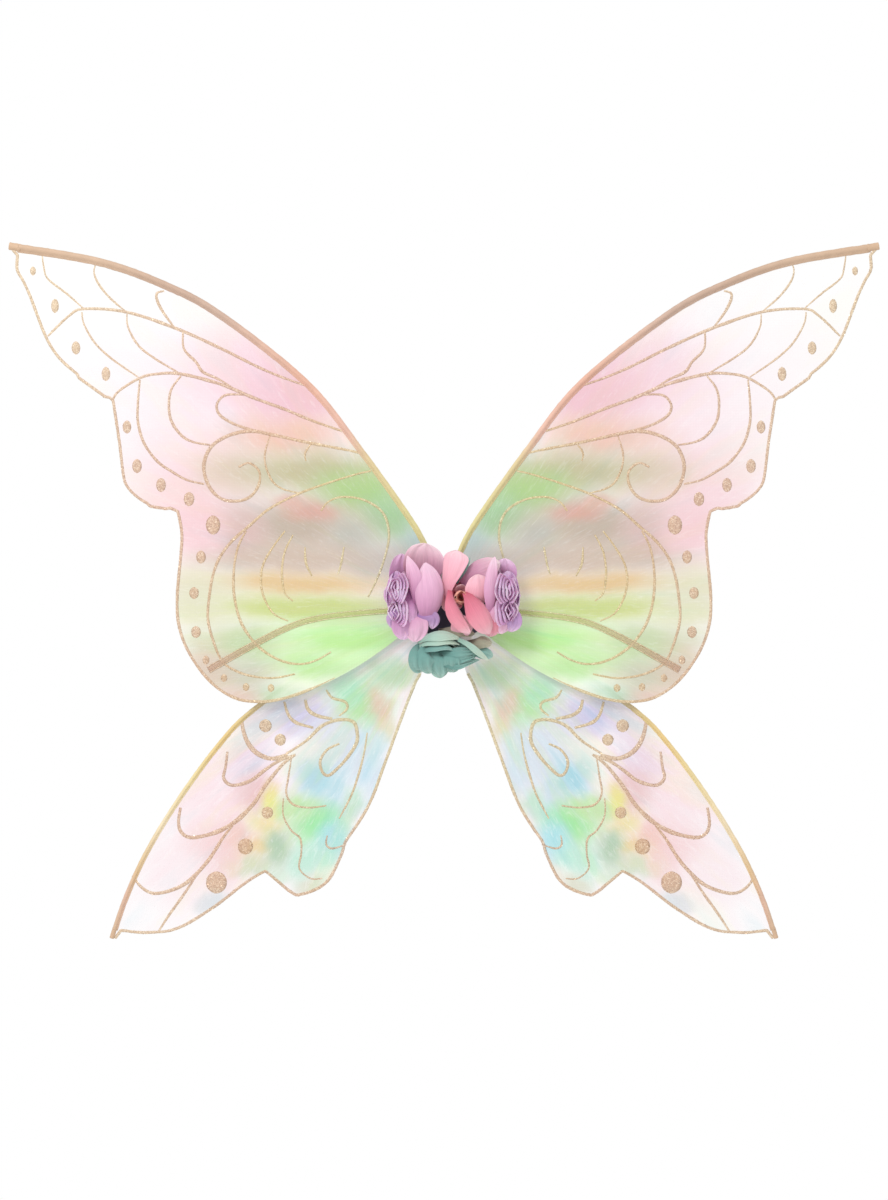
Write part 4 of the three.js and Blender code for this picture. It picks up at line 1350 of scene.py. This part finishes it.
def buildRose(name):
    makers = {"lilac_left": leftLilac, "pink": pinkRose, "lilac_right": rightLilac, "mint": mintRose}
    outer, middle, inner, cloths, slot = makers[name]()
    rose = roses[name]
    sepals = [(p, 0) for p in ringOf(rose, (1, 6, 11, 15), (0, -0.5, 1, 3.5), 9, 5, 0.2, 0.4, roll=0.3,
                                     ruffle=0.3, tip=0.9, seed=8)]
    petalsPiece(name + "_sepals", sepals, [petalCloths["calyx"]], "hub", "calyx_green", name + "_calyx")
    petalsPiece(name + "_guard_petals", outer, cloths, "hub", slot, name + "_outer_petals")
    petalsPiece(name + "_cup_petals", middle, cloths, "hub", slot, name + "_middle_petals")
    petalsPiece(name + "_heart", inner, cloths, "hub", slot, name + "_inner_petals")


def quartered(inner, way, wide, seed):
    # the heart of an old rose: two nests of folds, one above the other, over a rounded bud
    middle = inner + way * wide * 0.5
    folds = [(petal([(middle, -50, -16), (middle, -60, -2), (middle, -63, 24), (middle, -55, 41)], wide + 6,
                    (0, 1, 0), 0.9, 0.1, 0.6, 0.4, seed=seed), 4)]
    for nest, (high, size, lean) in enumerate(((23, 1.0, -1), (-1, 0.86, 1))):
        for k, (share, tall, hollow) in enumerate(((-0.1, 35, 1), (0.08, 32, 1), (0.26, 28, 1), (0.43, 22, 1),
                                                   (0.58, 15, -1), (0.74, 23, -1), (0.92, 29, -1))):
            rim = inner + way * wide * share
            root = inner + way * wide * (0.3 + 0.42 * share)
            front = -71.5 + 5 * max(share, 0) ** 2 + (1.5 if nest else 0)
            centre = high + lean * 2.2 * share
            spine = [(root, -60, centre), (root * 0.6 + rim * 0.4, -64, centre),
                     (root * 0.2 + rim * 0.8, front + 2.5, centre), (rim, front, centre)]
            folds.append((petal(spine, tall * size, (way * hollow, -0.15, 0.05), 0.72, 0.15, 2.0, 0.7, 1.0,
                                0.7 * nest + 0.3 * k, base=0.8, fan=1.0), (5, 4, 4, 5, 4, 4, 5)[k]))
    return folds


def lilacRose(name, turn, guardsLeft, cupsLeft, inner, way, wide):
    # a tall folded heart with guard petals round it
    rose = roses[name]
    cloths = [petalCloths[key] for key in ("lilac", "orchid", "violet", "dusty", "fold", "paleFold")]
    outer = [(p, (0, 2, 1)[k % 3]) for k, p in enumerate(ringOf(
        rose, (3, 13, 19, 21), (0, 3, 8, 12), 27, 7, turn, 0.5, roll=2, seed=turn, stretch=(0.9, 1.2),
        leave=guardsLeft))]
    middle = [(p, (2, 0)[k % 2]) for k, p in enumerate(ringOf(
        rose, (3, 11, 15, 16), (1, 5, 10, 13), 23, 6, turn + 0.5, 0.8, roll=1.2, seed=5, stretch=(0.85, 1.2),
        leave=cupsLeft))]
    # the outermost folds wrap round the heart
    rim = inner + way * wide
    for k, (off, low, tall, cloth) in enumerate(((1.5, 14, 40, 2), (-1.0, 2, 34, 0), (-2.0, 27, 30, 2))):
        edge = rim + way * off
        middle.append((petal([(edge - way * 11, -46, low), (edge - way * 2, -50, low), (edge, -57, low),
                              (edge - way * 1.5, -63 - k, low)], tall, (-way, -0.1, 0.05), 0.9, 0.2, 1.0, 0.9,
                             seed=30 + k, base=0.6), cloth))
    return outer, middle, quartered(inner, way, wide, turn), cloths, "lilac_petal"


def leftLilac():
    outer, middle, inner, cloths, slot = lilacRose("lilac_left", 0.3, (3, 4, 5, 6), (2, 3, 4), -38, -1, 18)
    # broad back petal that stands above the rose
    outer.append((petal([(-22, -46, 22), (-21, -50, 40), (-20, -54, 56), (-18, -57, 68)], 47, (0.1, -1, -0.2),
                        0.8, 0.1, 1.0, 2.2, seed=1), 3))
    outer.append((petal([(-36, -45, 14), (-43, -48, 32), (-43, -52, 46), (-41, -54, 58)], 27, (0.3, -1, 0),
                        0.6, 0.2, 0.8, 1.5, seed=2), 0))
    # narrow pointed petal
    middle.append((petal([(-28, -64, 8), (-29, -68, 22), (-31, -70, 38), (-36, -68, 56)], 18, (0.4, 1, 0),
                         0.7, 0.8, 0.3, 0.8, seed=3), 1))
    # the large cupped petal that closes over the right side
    middle.append((petal([(-19, -56, -12), (-15, -70, 2), (-13, -73, 24), (-19, -68, 49)], 37, (-0.2, 1, 0.1),
                         1.15, 0.6, 0.3, 0.6, seed=4), 1))
    # a smooth petal fills in beside the heart
    middle.append((petal([(-33, -52, 22), (-34, -63, 11), (-34, -67, 0), (-33, -62, -13)], 18, (0, 1, 0.2),
                         0.8, 0.3, 0.8, 0.6, seed=9), 0))
    # layered petals under the heart
    for k, (x, z, lean) in enumerate(((-49, -9, -0.5), (-41, -19, -0.1), (-29, -21, 0.3), (-12, -8, 0.7))):
        outer.append((petal([(-32 + lean * 8, -54, 4), (-34 + lean * 10, -63, -4), (x * 0.97, -65, z * 0.75),
                             (x, -58, z - 8)], (22, 28, 28, 18)[k], (0, 1, 0.35), 0.6, 0.35, 1.0, 1.2,
                            seed=5 + k), (2, 0, 1, 2)[k]))
    return outer, middle, inner, cloths, slot


def rightLilac():
    outer, middle, inner, cloths, slot = lilacRose("lilac_right", 3.3, (1, 2, 3), (0, 1, 2), 53, 1, 21)
    outer.append((petal([(54, -45, 20), (58, -48, 34), (60, -52, 44), (60, -55, 53)], 30, (-0.1, -1, -0.1),
                        0.6, 0.2, 0.8, 1.5, seed=2), 0))
    for k, (x, z) in enumerate(((56, -12), (66, -10))):
        outer.append((petal([(58, -52, 4), (60 + k * 3, -61, -4), (x + 1, -63, z), (x, -58, z - 9)], 25,
                            (0, 1, 0.3), 0.6, 0.35, 0.8, 1.2, seed=6 + k), (1, 2)[k]))
    middle.append((petal([(49, -52, 20), (50, -63, 9), (51, -67, -2), (51, -62, -14)], 16, (0, 1, 0.2),
                         0.8, 0.3, 0.8, 0.6, seed=9), 1))
    # the tall narrow petal beside the pink rose
    middle.append((petal([(47, -60, -10), (46, -68, 8), (47, -71, 30), (50, -66, 55)], 15, (-0.3, 1, 0),
                         0.7, 0.4, 0.4, 0.8, seed=3), 1))
    return outer, middle, inner, cloths, slot


def pinkRose():
    rose = roses["pink"]
    cloths = [petalCloths[key] for key in ("pink", "blush", "peach", "dusty", "teal")]
    outer = [(p, 0) for p in ringOf(rose, (3, 11, 16, 19), (0, 3, 8, 13), 24, 5, 0.9, 0.6, roll=2, seed=4,
                                    leave=(3,))]
    middle = [(p, 1) for p in ringOf(rose, (2, 8, 11, 12), (2, 8, 13, 18), 16, 5, 0.3, 0.9, roll=1, seed=2,
                                     leave=(0, 2, 3))]
    # the peach heart, a small loose bud
    inner = []
    for k in range(6):
        bud = ringOf(rose, (0.5, 3 + 0.6 * k, 4.5 + 0.7 * k, 4), (6, 13, 18, 23), 11 + k, 1, k * 2.35, 1.15,
                     roll=0.5, ruffle=0.5, seed=k)
        inner.append((bud[0], 2))
    # the tall fan petal, narrow at its foot
    outer.append((petal([(3, -58, 12), (4, -63, 28), (9, -64, 45), (13, -60, 61)], 31, (0.35, 1, 0),
                        0.85, 0.0, 0.8, 1.4, seed=1, base=0.1, fan=1.0), 1))
    # the broad petal that reaches across to the lilac rose
    outer.append((petal([(17, -54, 28), (28, -60, 38), (41, -62, 45), (56, -59, 50)], 25, (0.1, -1, 0.5),
                        -0.5, 0.15, 1.0, 1.0, seed=3, base=0.35), 3))
    # a leaf shows in the gap above the heart
    outer.append((petal([(12, -50, 28), (15, -54, 37), (19, -57, 45), (26, -57, 54)], 11, (0, -1, 0.2),
                        0.5, 0.6, 0.3, 0.3, seed=2), 4))
    # round petal behind the folded pair
    middle.append((petal([(31, -52, 4), (33, -64, 14), (34, -67, 26), (33, -63, 37)], 29, (0, 1, 0.2),
                         0.75, 0.0, 0.6, 1.4, seed=5), 1))
    # two folded front petals with pale rolled edges
    middle.append((petal([(6, -63, 22), (7, -72, 9), (14, -76, -5), (27, -72, -21)], 20, (-0.3, 1, -0.2),
                         1.15, 0.35, 0.4, -1.8, seed=6, base=0.25), 0))
    middle.append((petal([(22, -64, 20), (30, -74, 8), (39, -76, -6), (46, -70, -22)], 30, (-0.35, 1, -0.2),
                         1.0, 0.25, 0.3, -1.6, seed=7, base=0.3), 0))
    outer.append((petal([(12, -58, -2), (14, -66, -8), (18, -66, -15), (22, -60, -24)], 26, (0, 1, 0.3),
                        0.7, 0.3, 0.8, 0.8, seed=8), 1))
    outer.append((petal([(38, -56, -4), (42, -64, -10), (46, -64, -16), (46, -58, -24)], 24, (0, 1, 0.3),
                        0.7, 0.3, 0.8, 0.8, seed=9), 0))
    return outer, middle, inner, cloths, "pink_petal"


def mintRose():
    rose = roses["mint"]
    cloths = [petalCloths["mint"], petalCloths["teal"], petalCloths["sage"]]
    outer = [(p, 1) for p in ringOf(rose, (3, 12, 18, 22), (0, 4, 9, 14), 26, 6, 0.2, 0.7, roll=2, seed=3,
                                    stretch=(1, 0.75))]
    middle = [(p, 0) for p in ringOf(rose, (2, 9, 13, 14), (2, 9, 15, 19), 19, 5, 0.8, 0.9, roll=1, seed=6,
                                     stretch=(1, 0.8))]
    inner = []
    for k in range(6):
        r = 2 + 1.2 * k
        fold = ringOf(rose, (1, r * 0.8, r, r), (6, 11, 16, 20), 10 + k, 1, k * 2.1, 1.1, roll=0.7,
                      ruffle=1.2, seed=k)
        inner.append((fold[0], k % 2))
    # pale top petals that lap over one another
    for k, (z, wide, end) in enumerate(((-24, 15, 18), (-29, 13, 15), (-36, 10, 12))):
        middle.append((petal([(-26 - k, -58, z - 6), (-14, -66 - k * 0.7, z), (2, -68 - k * 0.7, z + 1),
                              (end, -62, z - 4)], wide, (0, 0.8, -0.6), 0.7, 1.1, 0.6, 0.8,
                             seed=1 + k), (0, 0, 1)[k]))
    # the teal body, gathered into upright folds
    for k, (x, drop, wide) in enumerate(((-24, -52, 24), (-16, -60, 25), (-6, -65, 24), (5, -59, 24))):
        outer.append((petal([(x + 4, -56, -37), (x, -65 - k % 2 * 2, -43), (x, -65 - k % 2 * 2, -52),
                             (x + 3, -57, drop)], wide, (0.2 * (k - 1.5), 1, 0.2), 0.85, 0.0, 2.2, 0.9,
                            seed=10 + k, base=0.75), 1))
    # folds that run out to the right, under a sheer band
    for k, (z0, z1) in enumerate(((-35, -40), (-41, -45), (-47, -50))):
        outer.append((petal([(-6, -61, z0 - 4), (8, -68 + k, z0 - 5), (22, -66 + k, z1 + 1),
                             (35, -58, z1 + 2)], 14, (0, 1, -0.3), 0.9, 1.1, 2.0, 0.8, seed=14 + k), 1))
    middle.append((petal([(14, -66, -27), (24, -70, -32), (34, -69, -40), (44, -62, -48)], 7, (0, 1, -0.3),
                         0.4, 0.5, 0.3, 0.3, seed=18, base=0.6), 0))
    # greyish beige petals tucked in at the right
    outer.append((petal([(22, -54, -30), (32, -62, -30), (40, -63, -29), (47, -57, -31)], 15, (0, 1, -0.4),
                        0.9, 0.15, 0.6, 0.8, seed=19), 2))
    outer.append((petal([(24, -54, -36), (34, -61, -39), (42, -61, -41), (48, -55, -44)], 14, (0, 1, -0.2),
                        0.8, 0.2, 0.6, 0.8, seed=20), 1))
    outer.append((petal([(-6, -52, -18), (6, -60, -18), (18, -62, -19), (30, -56, -22)], 13, (0, 0.9, -0.4),
                        0.8, 0.3, 0.6, 0.8, seed=21), 2))
    return outer, middle, inner, cloths, "mint_petal"


# the hub, its pad and the shoulder loops
hub = {
    "padSwell": 1.6 * mm, "padVoxel": 2.4 * mm, "padFrames": 14, "padPressure": 3.0, "padStiffness": 30,
    "stitchInset": 5.5 * mm, "stitchPull": 1.1 * mm, "stitchWidth": 1.4 * mm, "piping": 1.5 * mm,
    "halfPad": (26 * mm, 46 * mm), "padCorner": 12 * mm,
    "loopWidth": 14 * mm, "loopThickness": 1.2 * mm, "loopSpacing": 36 * mm,
    # a loop's run from under the pad's top edge, out round the shoulder and back, in y and z
    "loopRun": [(-7.55, 24), (-7.55, 43), (-5.15, 50.2), (6.1, 52), (36.6, 48.8), (75.6, 39.6), (109.8, 19.3),
                (122, -6.4), (109.8, -31.3), (75.6, -45.1), (36.6, -49.7), (6.1, -52), (-5.15, -50.2),
                (-7.55, -43), (-7.55, -24)],
}


def merged(nodeName, name):
    # a copy of a CAD node, its loose triangles joined
    built = bmesh.new()
    built.from_mesh(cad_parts[nodeName].data)
    bmesh.ops.remove_doubles(built, verts=built.verts, dist=1e-6)
    bmesh.ops.dissolve_limit(built, angle_limit=0.02, verts=built.verts, edges=built.edges)
    mesh = bpy.data.meshes.new(name)
    built.to_mesh(mesh)
    built.free()
    made = bpy.data.objects.new(name, mesh)
    bpy.context.scene.collection.objects.link(made)
    return made


def softEdged(nodeName, name, body, slot, material, bevel):
    # the CAD part again with rounded edges, as moulding and turning leave them
    made = merged(nodeName, name)
    made.data.materials.append(material)
    made.data.shade_smooth()
    edge = made.modifiers.new("edges", "BEVEL")
    edge.width, edge.segments, edge.limit_method, edge.angle_limit = bevel * mm, 3, "ANGLE", 0.6
    edge.harden_normals = True
    place(made, body, slot, nodeName)
    return made


def backPad(material, piping, thread):
    low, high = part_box("back_pad")
    pad = merged("back_pad", "back_cushion")
    for vert in pad.data.vertices:
        vert.co.x *= 0.965
        vert.co.z *= 0.98
        vert.co.y = low.y + 0.5 * mm if vert.co.y < (low.y + high.y) / 2 else high.y - 1.6 * mm
    inflate(pad, low, high)
    pad.data.materials.clear()
    pad.data.materials.append(material)
    finer = pad.modifiers.new("finer", "SUBSURF")
    finer.levels = finer.render_levels = 1
    pad.data.shade_smooth()
    place(pad, "hub", "pad_felt", "back_pad")
    # a corded edge round the pad
    edge = roundedRun(*hub["halfPad"], hub["padCorner"], 1.5 * mm)
    ring = circle(hub["piping"], hub["piping"], 12)
    middle = (low.y + high.y) / 2
    path = [(x, middle, z) for x, z in edge]
    made = closedSweep("pad_piping", path, ring, piping)
    place(made, "hub", "pad_felt")
    seam = [(x * 0.80, z * 0.885) for x, z in edge + edge[:1]]
    seam = [(x, surfaceAt(pad, x, z) + 0.1 * mm, z) for x, z in seam]
    sewAlong("pad_stitches", [seam], "hub", "pad_felt", thread)


def inflate(pad, low, high):
    # blows the pad up a little as cloth, then keeps each point near where it began
    bpy.context.view_layer.objects.active = pad
    pad.select_set(True)
    remesh = pad.modifiers.new("voxels", "REMESH")
    remesh.mode, remesh.voxel_size = "VOXEL", hub["padVoxel"]
    graph = bpy.context.evaluated_depsgraph_get()
    mesh = bpy.data.meshes.new_from_object(pad.evaluated_get(graph))
    pad.modifiers.clear()
    pad.data = mesh
    rest = [v.co.copy() for v in mesh.vertices]
    cloth = pad.modifiers.new("foam", "CLOTH")
    cloth.settings.use_pressure = True
    cloth.settings.uniform_pressure_force = hub["padPressure"]
    cloth.settings.effector_weights.gravity = 0.0
    cloth.settings.quality = 6
    cloth.settings.tension_stiffness = cloth.settings.compression_stiffness = hub["padStiffness"]
    cloth.point_cache.frame_start, cloth.point_cache.frame_end = 1, hub["padFrames"]
    scene = bpy.context.scene
    for step in range(1, hub["padFrames"] + 1):
        scene.frame_set(step)
    graph = bpy.context.evaluated_depsgraph_get()
    blown = bpy.data.meshes.new_from_object(pad.evaluated_get(graph))
    moved = [v.co.copy() for v in blown.vertices]
    pad.modifiers.clear()
    scene.frame_set(1)
    for vert, start, end in zip(mesh.vertices, rest, moved):
        shift = end - start
        if shift.length > hub["padSwell"]:
            shift *= hub["padSwell"] / shift.length
        spot = start + shift
        spot.y = min(max(spot.y, low.y + 0.2 * mm), high.y + 1.2 * mm)
        # the stitched line pulls the face in
        inset = min(hub["halfPad"][0] - abs(spot.x), hub["halfPad"][1] - abs(spot.z))
        pulled = math.exp(-((inset - hub["stitchInset"]) / hub["stitchWidth"]) ** 2)
        if spot.y > (low.y + high.y) / 2:
            spot.y -= hub["stitchPull"] * pulled
        vert.co = spot
    mesh.update()


def surfaceAt(piece, x, z):
    # the height of the nearest point that faces the wearer
    best, height = 1.0, 0.0
    for vert in piece.data.vertices:
        away = (vert.co.x - x) ** 2 + (vert.co.z - z) ** 2
        if vert.co.y > -3 * mm and away < best:
            best, height = away, vert.co.y
    return height


def roundedRun(halfWide, halfTall, radius, step):
    points = []
    for cx, cz, start in ((1, 1, 0), (-1, 1, 1), (-1, -1, 2), (1, -1, 3)):
        for k in range(9):
            a = (start + k / 8) * math.pi / 2
            points.append((cx * (halfWide - radius) + radius * math.cos(a),
                           cz * (halfTall - radius) + radius * math.sin(a)))
    dense = []
    for k, a in enumerate(points):
        b = points[(k + 1) % len(points)]
        pieces = max(1, round(math.dist(a, b) / step))
        dense += [tuple(p + (q - p) * j / pieces for p, q in zip(a, b)) for j in range(pieces)]
    return dense


def closedSweep(name, path, ring, material):
    count, around = len(path), len(ring)
    vertices, faces, uvs = [], [], []
    for k, here in enumerate(path):
        ahead = (Vector(path[(k + 1) % count]) - Vector(path[k - 1])).normalized()
        through = Vector((0, 1, 0))
        across = ahead.cross(through).normalized()
        for j, (x, y) in enumerate(ring):
            vertices.append(Vector(here) + across * x + through * y)
            uvs.append((k / count, j / around))
    for k in range(count):
        for j in range(around):
            n, i = (k + 1) % count, (j + 1) % around
            faces.append((k * around + j, n * around + j, n * around + i, k * around + i))
    made = newObject(name, vertices, faces, material, uvs)
    fixNormals(made.data)
    return made


def shoulderLoop(side, material):
    # flat elastic with rounded edges
    middle = sides[side] * hub["loopSpacing"] / 2
    run = splineThrough([(y * mm, z * mm) for y, z in hub["loopRun"]], 2.5 * mm)
    path = [(middle, y, z) for y, z in run]
    w, t = hub["loopWidth"] / 2, hub["loopThickness"] / 2
    outline = []
    for a in range(5):
        turn = -math.pi / 2 + math.pi * a / 4
        outline.append((w - t + t * math.cos(turn), t * math.sin(turn)))
    flat = [(w * x, t) for x in (0.6, 0.3, 0, -0.3, -0.6)]
    outline += flat
    outline += [(-x, -y) for x, y in outline[:5]] + [(-x, -y) for x, y in flat]
    made = sweep(side + "_elastic_loop", path, lambda k: (1, 0, 0), outline, material)
    rumple(made, 0.25 * mm, 9 * mm, sides[side] * 3)
    place(made, "hub", "elastic_band", side + "_strap")
    length = sum(math.dist(a, b) for a, b in zip(run, run[1:]))
    print("loop", side, "length", round(length, 3), "m")


# the build, in order
floor = setStudio()
washAndLightTrees = {wing: washAndLightGroup(wing) for wing in washesAndPaintedLight}
cloth = {wing: organza(wing) for wing in washesAndPaintedLight}
glueFor = {wing: glitterGlue(wing) for wing in washesAndPaintedLight}
flakeGold = {wing: goldFlake(wing) for wing in washesAndPaintedLight}
beadTree, beadSockets = glitterTree()
stitches = stitchTree()
upperStops = ((0.08, "#d8cd93"), (0.17, "#d8c496"), (0.22, "#e0b6a4"), (0.32, "#dfae98"), (0.42, "#d6b09c"),
              (0.52, "#c5a896"), (0.65, "#c2a48f"), (0.8, "#ccae94"), (1.0, "#cbac90"))
lowerStops = ((0.3, "#c9b98e"), (0.53, "#c3b392"), (0.6, "#d9c28a"), (0.66, "#e6c888"), (0.75, "#e6d29c"),
              (0.85, "#ecdab6"), (0.92, "#dcbd92"), (0.96, "#d8b29c"), (1.0, "#d2b494"))
ribStops = ((0.0, "#dfe69a"), (0.45, "#dde3a0"), (0.75, "#dccba4"), (1.0, "#dcb8a2"))
ribbons = {
    "upper": (satinRibbon("peachSatinRibbon", upperStops, 0.435),
              satinRibbon("peachThread", upperStops, 0.435, 0.0)),
    "lower": (satinRibbon("goldSatinRibbon", lowerStops, 0.333),
              satinRibbon("goldThread", lowerStops, 0.333, 0.0)),
    "rib": (sheerTape("chiffonTape", ribStops, 0.24, 0.42), None),
}
tapeCloth = satinRibbon("tanClothTape", ((0.0, "#c8a688"), (1.0, "#d0b092")), 0.435, 0.05)
wireSteel = drawnSteel("zincSpringWire", "#c4c6ca", 0.32)
# Each petal cloth: the share of its length and the colour there, from base to rim. The dark base colours are
# partly painted shade and the pale rim colours partly painted highlight.
petalDyeAndLight = {
    "lilac": ((0.0, "#a8609e"), (0.45, "#c587b5"), (0.8, "#d6a3ca"), (1.0, "#eac4e2")),
    "orchid": ((0.0, "#b06c9a"), (0.45, "#dca2c3"), (0.8, "#ecb9d4"), (1.0, "#f5d0e2")),
    "violet": ((0.0, "#8c5a9c"), (0.45, "#ac80b6"), (0.8, "#c39dca"), (1.0, "#dfbddd")),
    "pink": ((0.0, "#c4566c"), (0.4, "#e08094"), (0.8, "#f09fae"), (1.0, "#f8c2cc")),
    "dusty": ((0.0, "#a8688a"), (0.45, "#c88fa9"), (0.8, "#e4b6c6"), (1.0, "#efd2d9")),
    "blush": ((0.0, "#d9889e"), (0.4, "#f0a5b6"), (0.8, "#f7b9c7"), (1.0, "#f8cdd6")),
    "peach": ((0.0, "#a5564e"), (0.4, "#d97f72"), (0.8, "#ea9484"), (1.0, "#f3ab93")),
    "mint": ((0.0, "#86aa9c"), (0.4, "#a8c6b7"), (0.8, "#bfd2c0"), (1.0, "#d6e0cf")),
    "teal": ((0.0, "#456f69"), (0.4, "#6f9d96"), (0.8, "#8bb4ab"), (1.0, "#aecdc2")),
    "sage": ((0.0, "#686256"), (0.4, "#918c7a"), (0.8, "#aeaa95"), (1.0, "#c6c1ac")),
    "fold": ((0.0, "#c987b8"), (0.45, "#cc8fc0"), (0.85, "#cd95c4"), (1.0, "#e2b9dc")),
    "paleFold": ((0.0, "#d08fbd"), (0.45, "#d69fc9"), (0.85, "#daa8ce"), (1.0, "#eccae3")),
    "calyx": ((0.0, "#43553a"), (0.5, "#5c6d4a"), (1.0, "#7c8a66")),
}
foldThrough = {"fold": 0.4, "paleFold": 0.4}  # the folds of a heart let more light through
petalCloths = {key: petalCloth(key + "PetalCloth", stops, foldThrough.get(key, 0.12))
               for key, stops in petalDyeAndLight.items()}
for wing in ("upper", "lower"):
    low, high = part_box("right_" + wing + "_membrane")
    planes[wing] = (low.y + high.y) / 2
    sparPaths[wing] = sparLine(wing, 4 * mm)
    for side in sides:
        rim = smoothOutline(outlineOf(side + "_" + wing + "_membrane"), sheets["edgeStep"])
        outlines[side, wing] = reachTip(rim, wing, side)
for side in sides:
    for wing in ("upper", "lower"):
        sheerSheet(side, wing, cloth[wing])
        glitterOn(side, wing, beadTree, beadSockets)
        boundFrame(side, wing)
for name in roses:
    buildRose(name)

padCloth = feltCloth("pressedPadFelt", "#d8c4cb", "#efe0e4")
# the backing felt is near-black: partly its own colour, partly painted shade for the dark gap between the
# roses
shadeFeltCloth = feltCloth("darkFeltPaintedShade", "#191330", "#2e2748")
moulded = mouldedPlastic("mouldedPolypropylene", "#dad6d8")
screwSteel = drawnSteel("zincPlatedSteel", "#cfd0cd", 0.38)
elastic = wovenElastic()
whiteThread = satinRibbon("padThread", ((0.0, "#f2e8ea"), (1.0, "#f2e8ea")), 0.435, 0.0)
backPad(padCloth, padCloth, whiteThread)
for side in sides:
    shoulderLoop(side, elastic)
    for wing in ("upper", "lower"):
        channel = side + "_" + wing + "_channel"
        softEdged(channel, channel + "_moulding", "hub", "moulded_plastic", moulded, 0.5)
softEdged("hub_plate", "hub_plate_moulding", "hub", "moulded_plastic", moulded, 0.6)
softEdged("hub_block", "hub_block_moulding", "hub", "moulded_plastic", moulded, 0.6)
softEdged("felt_backing", "felt_backing_cut", "hub", "dark_felt", shadeFeltCloth, 0.4)
for name in ("top_screw", "bottom_screw"):
    softEdged(name, name + "_turned", "hub", "zinc_steel", screwSteel, 0.25)
floorPaint = newMaterial("paleFloorPaint", **{"Base Color": linear("#f3f1ef"), "Roughness": 0.9})[0]
floor.data.materials.append(floorPaint)
